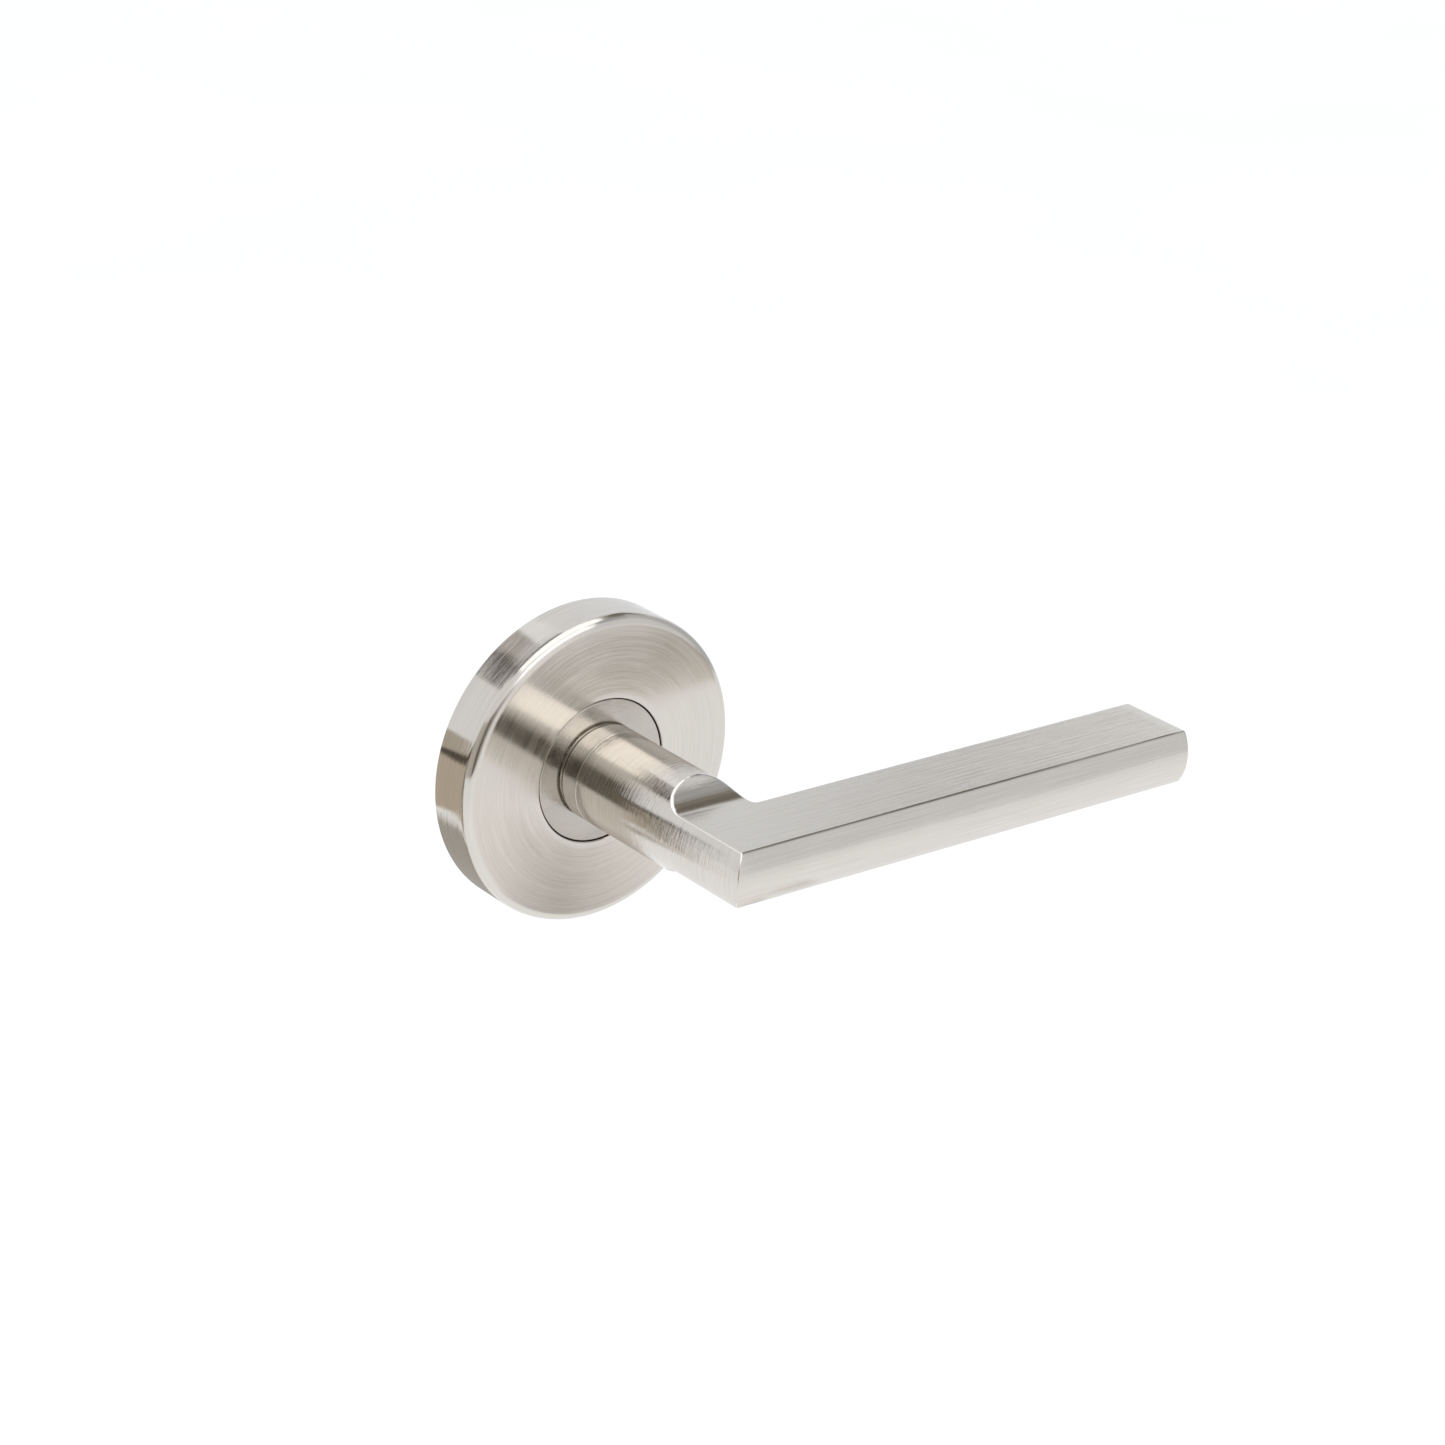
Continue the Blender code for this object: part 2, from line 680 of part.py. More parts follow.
def make_driver_cam(material, parent):
    """Plate on the hub's four flats: its arm meets the stops, its hole takes the spring's leg."""
    middle = -math.pi / 2
    start = middle + CAM_ARM_HALF_ANGLE
    end = middle - CAM_ARM_HALF_ANGLE + 2 * math.pi
    outline = arc(CAM_R, start, end, 40)
    outline += arc(CAM_ARM_R, end - 2 * math.pi, start, 8)
    cam = make_object("driver_cam", extruded(outline, CAM_REAR, CAM_FRONT), material, parent)
    seat_outline = flatted_round(CAM_SEAT_R + BORE_CLEARANCE, CAM_SEAT_FLAT + BORE_CLEARANCE)
    seat = extruded(seat_outline, CAM_REAR - PAST, CAM_FRONT + PAST)
    combine(cam, make_cutter("cut_cam_bore", seat))
    x, z = spring_leg_place()
    rear = (x, PAST - CAM_REAR, z)
    hole = cylinder(WIRE_R + HOLE_CLEARANCE, rear, (x, -CAM_FRONT - PAST, z), TINY_STEPS)
    combine(cam, make_cutter("cut_cam_spring_hole", hole))
    return cam


def make_rear_washer(material, parent):
    """Steel washer between the circlip and the back plate."""
    inner = REAR_JOURNAL_R + BORE_CLEARANCE
    profile = [
        (inner, WASHER_REAR),
        (WASHER_R, WASHER_REAR),
        (WASHER_R, WASHER_FRONT),
        (inner, WASHER_FRONT),
    ]
    return make_object("rear_washer", turned(profile, BAR_STEPS), material, parent)


def make_circlip(material, parent):
    """Open retaining ring in the hub's groove."""
    inner = CLIP_GROOVE_R + HOLE_CLEARANCE
    start = math.pi / 2 + CLIP_HALF_MOUTH
    end = math.pi / 2 + 2 * math.pi - CLIP_HALF_MOUTH
    outline = arc(CLIP_R, start, end, 36)
    outline += arc(inner, end, start, 36)
    return make_object("circlip", extruded(outline, CLIP_REAR, CLIP_FRONT), material, parent)


def make_spindle(material, parent):
    """Square steel bar with chamfered corners, pinned in the hub and open-ended at the door."""
    half = SPINDLE_SIDE / 2
    corner = half - SPINDLE_CHAMFER
    outline = [
        (half, -corner),
        (half, corner),
        (corner, half),
        (-corner, half),
        (-half, corner),
        (-half, -corner),
        (-corner, -half),
        (corner, -half),
    ]
    bm = extruded(outline, -SPINDLE_END_Y, SPINDLE_FRONT)
    spindle = make_object("spindle", bm, material, parent)
    combine(spindle, make_cutter("cut_spindle_pin_hole", pin_hole()))
    return spindle


def make_spindle_pin(material, parent):
    """Roll pin across the hub's tenon, through the spindle."""
    reach = TENON_R - HOLE_CLEARANCE
    bm = cylinder(PIN_R, (-reach, -PIN_DEPTH, 0), (reach, -PIN_DEPTH, 0), TINY_STEPS)
    return make_object("spindle_pin", bm, material, parent)


def main():
    clear_scene()
    nickel = make_material("satin_nickel", (0.66, 0.63, 0.58), 0.30, 1.0)
    zinc = make_material("zinc_plated_steel", (0.62, 0.63, 0.64), 0.34, 1.0)
    spring_steel = make_material("spring_steel", (0.33, 0.33, 0.35), 0.32, 1.0)
    black_steel = make_material("black_oxide_steel", (0.045, 0.045, 0.05), 0.42, 1.0)
    nylon = make_material("black_nylon", (0.03, 0.03, 0.032), 0.55, 0.0)

    door_side = make_axis_empty("door_fixing")
    make_rose_cover(nickel, door_side)
    make_mounting_plate(nickel, door_side)
    make_cage_back_plate(zinc, door_side)
    for index in range(len(CAGE_SCREW_ANGLES)):
        make_cage_screw(index, zinc, door_side)
    make_front_bush(nickel, door_side)
    make_rear_bush(nylon, door_side)
    make_return_spring(spring_steel, door_side)
    make_bolt_post("upper", POST_SPACING / 2, zinc, door_side)
    make_bolt_post("lower", -POST_SPACING / 2, zinc, door_side)
    make_grub_screw(
        "cover_grub_screw",
        COVER_GRUB_R,
        COVER_GRUB_TIP_Z,
        COVER_GRUB_END_Z,
        COVER_GRUB_DEPTH,
        black_steel,
        door_side,
    )

    turning = make_axis_empty("lever_axis")
    make_lever_handle(nickel, turning)
    make_neck_ring(nickel, turning)
    make_lever_hub(zinc, turning)
    make_driver_cam(zinc, turning)
    make_rear_washer(zinc, turning)
    make_circlip(spring_steel, turning)
    make_spindle(zinc, turning)
    make_spindle_pin(spring_steel, turning)
    make_grub_screw(
        "neck_grub_screw",
        GRUB_R,
        -SPINDLE_SIDE / 2 - HOLE_CLEARANCE,
        -GRIP_R + 2 * GAP,
        GRUB_DEPTH,
        black_steel,
        turning,
    )


main()
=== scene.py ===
"""Looks of the door lever handle: fine meshes, brushed metal and soft studio light.

Metres, +Z up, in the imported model's frame: the spindle's axis is the Y axis, the door's face is
y = 0, and a depth is a distance in front of it, so y = -depth. The grip runs along +X.
"""

from math import asin, cos, hypot, pi, radians, sin, sqrt, tan

import bmesh
import bpy
from mathutils import Matrix, Vector


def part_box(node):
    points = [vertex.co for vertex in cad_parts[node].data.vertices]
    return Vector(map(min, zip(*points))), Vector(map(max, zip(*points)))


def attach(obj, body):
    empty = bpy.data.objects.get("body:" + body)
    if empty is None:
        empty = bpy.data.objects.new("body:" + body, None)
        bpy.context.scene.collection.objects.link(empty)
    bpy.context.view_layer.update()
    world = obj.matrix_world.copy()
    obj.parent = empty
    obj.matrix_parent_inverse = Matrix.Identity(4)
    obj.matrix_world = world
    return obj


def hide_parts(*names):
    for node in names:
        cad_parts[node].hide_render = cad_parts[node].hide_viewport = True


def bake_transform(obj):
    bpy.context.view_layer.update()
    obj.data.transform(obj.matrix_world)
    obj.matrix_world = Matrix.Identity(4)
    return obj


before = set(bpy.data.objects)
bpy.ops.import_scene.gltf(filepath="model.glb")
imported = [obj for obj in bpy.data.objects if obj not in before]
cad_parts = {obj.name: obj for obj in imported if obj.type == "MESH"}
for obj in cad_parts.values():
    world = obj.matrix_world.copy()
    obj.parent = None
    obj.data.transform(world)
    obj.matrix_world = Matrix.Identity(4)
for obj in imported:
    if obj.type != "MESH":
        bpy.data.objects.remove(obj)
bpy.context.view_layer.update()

MM = 0.001
DOWN = -pi / 2
SHARP = radians(35)


# ---- Places and sizes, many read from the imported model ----


def depths(node):
    """The (rear, front) depths of a CAD node."""
    low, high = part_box(node)
    return -high.y, -low.y


def radius_of(node):
    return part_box(node)[1].x


ROSE_R = radius_of("rose_cover")
ROSE_RIM, ROSE_FRONT = depths("rose_cover")
ROSE_WALL = 1.4 * MM
ROSE_HOLE_R = 15.2 * MM
ROSE_EDGE_ROUND = 2.25 * MM
ROSE_EDGE_SQUARENESS = 2.35
ROSE_CROWN = 0.12 * MM

PLATE_R = radius_of("mounting_plate")
BOSS_FRONT = depths("mounting_plate")[1]
BOSS_R = ROSE_HOLE_R - 0.22 * MM

GRIP_R = radius_of("neck_ring")
RING_REAR, RING_FRONT = depths("neck_ring")
NECK_REAR = depths("lever_handle")[0] - 0.22 * MM
GRIP_DEPTH = depths("lever_handle")[1] - GRIP_R
TIP_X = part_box("lever_handle")[1].x
HALF_THICKNESS = 5.7 * MM
LEVER_EDGE_ROUND = 0.36 * MM
COVE_R = 7.0 * MM
COVE_FOOT = 45.75 * MM
SOCKET_R = 7.8 * MM
SOCKET_END = 30.0 * MM
GRUB_R = 2.0 * MM
NECK_GRUB_DEPTH = 21.0 * MM
BRUSH_SCALE = 20

COVER_GRUB_R = 1.5 * MM
COVER_GRUB_DEPTH = 4.3 * MM
CAGE_SCREWS = [(14.8 * MM, radians(angle)) for angle in (0, 120, 240)]
CAGE_SCREW_R = 1.1 * MM
PLATE_THICKNESS = 2.8 * MM
POST_R = 3.0 * MM
POST_HEAD_R = 4.2 * MM
POST_PLACES = {"upper": 22.0 * MM, "lower": -22.0 * MM}
CAGE_REAR = 3.6 * MM
CAGE_FRONT = 9.4 * MM
CAM_REAR, CAM_FRONT = depths("driver_cam")
CAM_R = 10.6 * MM
CAM_ARM_R = 12.3 * MM
HALF_ARM = radians(15)
ARM_TRAVEL = radians(51.5)
JOURNAL_R = 8.0 * MM
REAR_JOURNAL_R = 7.0 * MM
SPINDLE_SIDE = 8.0 * MM
PIN_R = 1.2 * MM
PIN_DEPTH = 25.2 * MM
SPRING_R = 9.5 * MM
SPRING_REAR = 5.0 * MM
SPRING_PITCH = 1.45 * MM
SPRING_TURNS = 1.52
WIRE_R = 0.65 * MM


# ---- Mesh tools ----


def polar(radius, angle):
    return radius * cos(angle), radius * sin(angle)


def direction(azimuth, elevation):
    """A unit vector: azimuth 0 is -Y and 90 is +X, elevation is above the horizon, in degrees."""
    a = radians(azimuth)
    e = radians(elevation)
    return Vector((sin(a) * cos(e), -cos(a) * cos(e), sin(e)))


def arc(radius, start, end, steps):
    return [polar(radius, start + (end - start) * i / steps) for i in range(steps + 1)]


def quarter(steps, first=0):
    """Angles from 0 to a right angle in equal steps, from step number first."""
    return [pi / 2 * k / steps for k in range(first, steps + 1)]


def hexagon(across_flats):
    return [polar(across_flats / sqrt(3), radians(60 * i)) for i in range(6)]


def spread(start, end, count):
    """count values from start up to, but not including, end."""
    return [start + (end - start) * i / count for i in range(count)]


def soften(points, radius, steps=4):
    """A closed outline with each corner rounded, and a point beside each round to hold it."""
    hold = 0.03 * MM
    softened = []
    count = len(points)
    for i in range(count):
        before = Vector(points[i - 1])
        corner = Vector(points[i])
        after = Vector(points[(i + 1) % count])
        back = before - corner
        ahead = after - corner
        turn = pi - back.angle(ahead)
        if turn < 0.02 or corner.x == 0:
            softened.append(tuple(corner))
            continue
        reach = radius * tan(turn / 2)
        reach = min(reach, 0.42 * back.length, 0.42 * ahead.length)
        fitted = reach / tan(turn / 2)
        start = corner + back.normalized() * reach
        end = corner + ahead.normalized() * reach
        middle = (back.normalized() + ahead.normalized()).normalized()
        centre = corner + middle * (fitted / cos(turn / 2))
        held = min(hold, 0.3 * reach + 1e-9)
        softened.append(tuple(start + back.normalized() * held))
        for k in range(steps + 1):
            spoke = (start - centre).lerp(end - centre, k / steps).normalized() * fitted
            softened.append(tuple(centre + spoke))
        softened.append(tuple(end + ahead.normalized() * held))
    return softened


def stepped(radius, *turns):
    """A profile of square steps, from a first radius through depths and radii in turn."""
    points = []
    for depth, after in zip(turns[::2], turns[1::2]):
        points += [(radius, depth), (after, depth)]
        radius = after
    return points


def thread(crest, root, start, end, pitch):
    """Profile points for a run of thread grooves between two depths."""
    count = max(1, int(abs(end - start) / pitch))
    step = (end - start) / count
    points = []
    for i in range(count):
        depth = start + step * i
        points += [(crest, depth), (crest, depth + step * 0.2), (root, depth + step * 0.6)]
    return points + [(crest, end)]


def add_object(name, data):
    """A new object in the scene that shows this mesh, light or camera."""
    obj = bpy.data.objects.new(name, data)
    bpy.context.scene.collection.objects.link(obj)
    return obj


def shade(mesh, sharp=SHARP):
    mesh.shade_smooth()
    mesh.set_sharp_from_angle(angle=sharp)


def object_from(name, bm):
    mesh = bpy.data.meshes.new(name)
    bm.to_mesh(mesh)
    bm.free()
    return add_object(name, mesh)


def mesh_object(name, verts, faces, sharp=SHARP):
    mesh = bpy.data.meshes.new(name)
    mesh.from_pydata(verts, [], faces)
    mesh.validate()
    bm = bmesh.new()
    bm.from_mesh(mesh)
    bmesh.ops.recalc_face_normals(bm, faces=bm.faces)
    bm.to_mesh(mesh)
    bm.free()
    shade(mesh, sharp)
    return add_object(name, mesh)


def turned(name, profile, steps, centre=(0.0, 0.0)):
    """A closed outline of (radius, depth) points turned about the Y axis through centre (x, z)."""
    verts = []
    rows = []
    for radius, depth in profile:
        if radius < 1e-7:
            rows.append([len(verts)] * steps)
            verts.append((centre[0], -depth, centre[1]))
            continue
        rows.append(list(range(len(verts), len(verts) + steps)))
        for i in range(steps):
            x, z = polar(radius, 2 * pi * i / steps)
            verts.append((centre[0] + x, -depth, centre[1] + z))
    faces = []
    for k, row in enumerate(rows):
        below = rows[(k + 1) % len(rows)]
        for i in range(steps):
            j = (i + 1) % steps
            ring = []
            for index in (row[i], row[j], below[j], below[i]):
                if index not in ring:
                    ring.append(index)
            if len(ring) > 2:
                faces.append(ring)
    return mesh_object(name, verts, faces)


def prism(name, outline, rear, front, edge=0.0):
    """An outline of (x, z) points as a plate between two depths, its edges bevelled."""
    bm = bmesh.new()
    face = bm.faces.new([bm.verts.new((x, -rear, z)) for x, z in outline])
    made = bmesh.ops.extrude_face_region(bm, geom=[face])
    front_verts = [item for item in made["geom"] if isinstance(item, bmesh.types.BMVert)]
    bmesh.ops.translate(bm, verts=front_verts, vec=(0, rear - front, 0))
    bmesh.ops.recalc_face_normals(bm, faces=bm.faces)
    if edge:
        sharp = [e for e in bm.edges if e.calc_face_angle(0) > radians(30)]
        bmesh.ops.bevel(bm, geom=sharp, offset=edge, segments=2, affect="EDGES", profile=0.5)
    plate = object_from(name, bm)
    shade(plate.data)
    return plate


def block(name, low, high, edge=0.0):
    """A box between two corners, in metres."""
    low = Vector(low)
    high = Vector(high)
    bm = bmesh.new()
    bmesh.ops.create_cube(bm, size=1)
    bmesh.ops.scale(bm, vec=high - low, verts=bm.verts)
    bmesh.ops.translate(bm, vec=(low + high) / 2, verts=bm.verts)
    if edge:
        bmesh.ops.bevel(bm, geom=bm.edges[:], offset=edge, segments=3, affect="EDGES")
    return object_from(name, bm)


def moved(obj, matrix):
    obj.data.transform(matrix)
    return obj


def rod(name, radius, start, end, steps, flare=0.0):
    """A round bar from one point to another; a flare widens its start like a countersink."""
    along = Vector(end) - Vector(start)
    profile = [(0, 0), (radius + flare, 0)]
    if flare:
        profile.append((radius, flare))
    profile += [(radius, along.length), (0, along.length)]
    bar = turned(name, profile, steps)
    turn = along.to_track_quat("-Y", "Z").to_matrix().to_4x4()
    return moved(bar, Matrix.Translation(start) @ turn)


def upright_rod(name, radius, depth, start, end, steps, flare=0.0):
    """A rod at this depth, straight over or under the axis, from one height to another."""
    return rod(name, radius, (0, -depth, start), (0, -depth, end), steps, flare)


def carve(obj, cutters, operation="DIFFERENCE"):
    """Cuts the helper solids out of a piece, or joins them to it, and removes the helpers."""
    for helper in cutters:
        modifier = obj.modifiers.new(helper.name, "BOOLEAN")
        modifier.operation = operation
        modifier.object = helper
    graph = bpy.context.evaluated_depsgraph_get()
    result = bpy.data.meshes.new_from_object(obj.evaluated_get(graph))
    obj.modifiers.clear()
    before = obj.data
    obj.data = result
    bpy.data.meshes.remove(before)
    result.name = obj.name
    for helper in cutters:
        mesh = helper.data
        bpy.data.objects.remove(helper)
        bpy.data.meshes.remove(mesh)
    shade(result)


def tube(name, path, radius, sides):
    """Round wire along a path, its two ends closed with a small round."""
    points = [Vector(point) for point in path]
    neighbours = zip(points[1:] + points[-1:], points[:1] + points[:-1])
    tangents = [(ahead - behind).normalized() for ahead, behind in neighbours]
    first = tangents[0]
    last = tangents[-1]
    end_scale = 0.7
    round_end = 0.3 * radius
    stations = [(points[0], first, end_scale), (points[0] + first * round_end, first, 1.0)]
    stations += [(point, tangent, 1.0) for point, tangent in zip(points, tangents)][1:-1]
    stations += [(points[-1] - last * round_end, last, 1.0), (points[-1], last, end_scale)]
    verts = []
    normal = first.orthogonal().normalized()
    for place, tangent, scale in stations:
        normal = (normal - tangent * normal.dot(tangent)).normalized()
        side = tangent.cross(normal)
        for i in range(sides):
            a, b = polar(radius * scale, 2 * pi * i / sides)
            verts.append(tuple(place + normal * a + side * b))
    faces = [list(range(sides)), list(range(len(verts) - sides, len(verts)))]
    for k in range(len(stations) - 1):
        for i in range(sides):
            j = (i + 1) % sides
            near = k * sides
            far = near + sides
            faces.append((near + i, near + j, far + j, far + i))
    return mesh_object(name, verts, faces)


def belongs(obj, body, node):
    """Fixes a piece to its body, in place of its CAD node."""
    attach(obj, body)
    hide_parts(node)
    return obj


# ---- Camera ----


def make_camera():
    """A long lens above and to the left of the handle, tilted a little."""
    azimuth = -40.83
    elevation = 22.88
    roll = radians(-4.67)
    distance = 721.3 * MM
    aside = 30.2 * MM
    above = 8.2 * MM
    back = direction(azimuth, elevation)
    right = direction(azimuth + 90, 0)
    up = back.cross(right)
    tilted_right = right * cos(roll) - up * sin(roll)
    tilted_up = right * sin(roll) + up * cos(roll)
    data = bpy.data.cameras.new("camera")
    data.sensor_width = 36
    data.lens = 90
    data.clip_start = 0.01
    data.clip_end = 50
    camera = add_object("camera", data)
    turn = Matrix((tilted_right, tilted_up, back)).transposed()
    place = back * distance + right * aside + up * above
    camera.matrix_world = Matrix.Translation(place) @ turn.to_4x4()
    bpy.context.scene.camera = camera


# ---- Lever handle ----


def soft_min(a, b, width):
    """The smaller of two lengths, rounded where they cross."""
    near = max(width - abs(a - b), 0) / width
    return min(a, b) - near * near * width / 4


def half_height(depth):
    """Half the neck's thickness at a depth: no limit at first, then the scoop and the flat."""
    run = COVE_FOOT - depth
    if run <= 0:
        return HALF_THICKNESS
    if run >= COVE_R:
        return 1.0
    return HALF_THICKNESS + COVE_R - sqrt(COVE_R**2 - run**2)


def section_angles():
    """Angles round the bar, closer together at the four edges of its flats."""
    edge = asin(HALF_THICKNESS / GRIP_R)
    zone = radians(3.4)
    corner = spread(0, edge - zone, 13)
    corner += spread(edge - zone, edge + zone, 12)
    corner += spread(edge + zone, pi / 2, 40)
    half = corner + [pi / 2] + [pi - a for a in reversed(corner[1:])]
    return half + [pi] + [-a for a in reversed(half[1:])]


def reach_at(height, angle):
    """How far from the bar's axis a line at this angle meets a flat at this height."""
    return height / max(abs(sin(angle)), 1e-4)


def shrink(radius, angle, inset):
    """The section's radius at this angle after its outline moves inwards by inset."""
    flat_r = reach_at(HALF_THICKNESS - inset, angle)
    return min(radius, soft_min(GRIP_R - inset, flat_r, LEVER_EDGE_ROUND))


def make_lever():
    """Neck and grip as one bar: each line along it runs down the neck, round the corner, out."""
    tip_round = 0.6 * MM
    inner_fillet = 1.7 * MM
    outer_fillet = 0.24 * MM
    lip = 0.06 * MM
    cove_start = 38.5 * MM
    flat_start = 46.4 * MM
    lines = []
    for angle in section_angles():
        across = cos(angle)
        up = sin(angle)
        grip_r = soft_min(GRIP_R, reach_at(HALF_THICKNESS, angle), LEVER_EDGE_ROUND)
        corner = GRIP_DEPTH - grip_r * across
        inner_share = (1 + across) / 2
        fillet = outer_fillet + (inner_fillet - outer_fillet) * inner_share**3
        bend = corner - fillet
        foot = min(flat_start, bend - 0.5 * MM)
        stations = [NECK_REAR, NECK_REAR + lip * 0.3, NECK_REAR + lip]
        stations += spread(NECK_REAR + lip * 1.5, cove_start, 10)
        stations += spread(cove_start, foot, 50)
        stations += spread(foot, bend, 5)
        line = []
        for k, depth in enumerate(stations):
            radius = soft_min(GRIP_R, reach_at(half_height(depth), angle), LEVER_EDGE_ROUND)
            radius -= (lip, lip * 0.3, 0)[k] if k < 3 else 0
            line.append((radius * across, -depth, radius * up))
        z = grip_r * up
        for turn in quarter(8):
            x = grip_r * across + fillet * (1 - cos(turn))
            line.append((x, -(bend + fillet * sin(turn)), z))
        start_x = grip_r * across + fillet
        for x in spread(start_x, TIP_X - tip_round, 36)[1:]:
            line.append((x, -corner, z))
        for turn in quarter(6):
            tip_x = TIP_X - tip_round + tip_round * sin(turn)
            radius = shrink(grip_r, angle, tip_round * (1 - cos(turn)))
            line.append((tip_x, -(GRIP_DEPTH - radius * across), radius * up))
        lines.append(line)
    return lines


def map_lever_brushing(mesh, count, length):
    """A UV map whose U runs along the brushing: round the neck, along the grip and the flats."""
    angles = section_angles()
    layer = mesh.uv_layers.new(name="brush")
    for polygon in mesh.polygons:
        on_side = all(index < count * length for index in polygon.vertices)
        lines = [index // length for index in polygon.vertices]
        wraps = max(lines) - min(lines) > 2
        centre = polygon.center
        in_neck = centre.x < GRIP_DEPTH + centre.y
        reach = hypot(centre.x if in_neck else centre.y + GRIP_DEPTH, centre.z)
        on_round = reach > GRIP_R - 0.05 * MM
        for loop, index in zip(polygon.loop_indices, polygon.vertices):
            place = mesh.vertices[index].co
            angle = angles[min(index // length, count - 1)] % (2 * pi)
            if wraps and angle < pi:
                angle += 2 * pi
            if not on_side:
                spot = (place.z, place.y)
            elif on_round and in_neck:
                spot = (GRIP_R * angle, -place.y)
            elif on_round:
                spot = (place.x, GRIP_R * angle)
            else:
                spot = (place.x, -place.y + 3 * place.z)
            layer.data[loop].uv = (spot[0] * BRUSH_SCALE, spot[1] * BRUSH_SCALE)


def build_lever():
    lines = make_lever()
    count = len(lines)
    length = len(lines[0])
    verts = [point for line in lines for point in line]
    faces = []
    for i in range(count):
        near = i * length
        far = (i + 1) % count * length
        for k in range(length - 1):
            faces.append((near + k, near + k + 1, far + k + 1, far + k))

    def join(ring, points):
        """Faces from a ring of vertices to a new ring at these points, which is returned."""
        added = list(range(len(verts), len(verts) + count))
        verts.extend(points)
        for i in range(count):
            j = (i + 1) % count
            faces.append((ring[i], added[i], added[j], ring[j]))
        return added

    def close(ring, centre):
        hub = len(verts)
        verts.append(centre)
        for i in range(count):
            faces.append((ring[i], hub, ring[(i + 1) % count]))

    tip = [i * length + length - 1 for i in range(count)]
    centre = Vector((TIP_X, -GRIP_DEPTH, 0))
    for share in (0.985, 0.7, 0.35):
        tip = join(tip, [tuple(centre.lerp(Vector(line[-1]), share)) for line in lines])
    close(tip, tuple(centre))

    mouth = [i * length for i in range(count)]
    bevel = 0.2 * MM
    socket = [(SOCKET_R + bevel, NECK_REAR), (SOCKET_R, NECK_REAR + bevel), (SOCKET_R, SOCKET_END)]
    for radius, depth in socket:
        points = []
        for line in lines:
            x, _, z = line[3]
            scale = radius / hypot(x, z)
            points.append((x * scale, -depth, z * scale))
        mouth = join(mouth, points)
    close(mouth, (0, -SOCKET_END, 0))
    lever = mesh_object("lever_bar", verts, faces, sharp=radians(50))
    map_lever_brushing(lever.data, count, length)
    outside = -GRIP_R - 0.02 * MM
    inside = -SOCKET_R + 1.0 * MM
    hole_r = GRUB_R + 0.1 * MM
    cut = upright_rod("neck_thread_cut", hole_r, NECK_GRUB_DEPTH, outside, inside, 40, 0.3 * MM)
    carve(lever, [cut])
    return belongs(lever, "lever", "lever_handle")


# ---- Rose, housing and collar ----


def build_rose():
    """The cover's shell, its face a little crowned and its edge rounded."""
    wall = ROSE_WALL
    inner_r = ROSE_R - wall
    edge_depth = ROSE_FRONT - ROSE_CROWN - ROSE_EDGE_ROUND
    face_r = ROSE_R - ROSE_EDGE_ROUND
    lip = 0.32 * MM
    profile = [(inner_r, ROSE_RIM + 0.3 * MM), (inner_r + 0.25 * MM, ROSE_RIM)]
    profile += [(ROSE_R - 0.2 * MM, ROSE_RIM), (ROSE_R, ROSE_RIM + 0.2 * MM)]
    profile += [(ROSE_R, ROSE_RIM + 0.3 * MM), (ROSE_R, edge_depth - 0.1 * MM)]
    power = 2 / ROSE_EDGE_SQUARENESS
    for turn in quarter(24):
        radius = ROSE_R - ROSE_EDGE_ROUND * (1 - max(cos(turn), 0) ** power)
        profile.append((radius, edge_depth + ROSE_EDGE_ROUND * sin(turn) ** power))
    face_steps = 12
    for k in range(1, face_steps + 1):
        share = k / face_steps
        radius = face_r + (ROSE_HOLE_R + lip - face_r) * share
        profile.append((radius, ROSE_FRONT - ROSE_CROWN * (1 - share) ** 2))
    for turn in quarter(5, 1):
        radius = ROSE_HOLE_R + lip * (1 - sin(turn))
        profile.append((radius, ROSE_FRONT - lip * (1 - cos(turn))))
    profile += [(ROSE_HOLE_R, ROSE_FRONT - wall), (face_r, ROSE_FRONT - wall)]
    profile += [(inner_r, ROSE_FRONT - wall - 1.5 * MM)]
    rose = turned("rose_shell", profile, 256)
    outside = -ROSE_R - 0.02 * MM
    inside = -ROSE_R + 3.5 * MM
    hole_r = COVER_GRUB_R + 0.12 * MM
    cut = upright_rod("cover_hole_cut", hole_r, COVER_GRUB_DEPTH, outside, inside, 40, 0.2 * MM)
    carve(rose, [cut])
    return belongs(rose, "rose", "rose_cover")


def build_ring():
    bore = 8.3 * MM
    profile = stepped(bore, RING_REAR, GRIP_R, RING_FRONT, bore)
    ring = turned("neck_collar", soften(profile, 0.09 * MM), 192)
    return belongs(ring, "lever", "neck_ring")


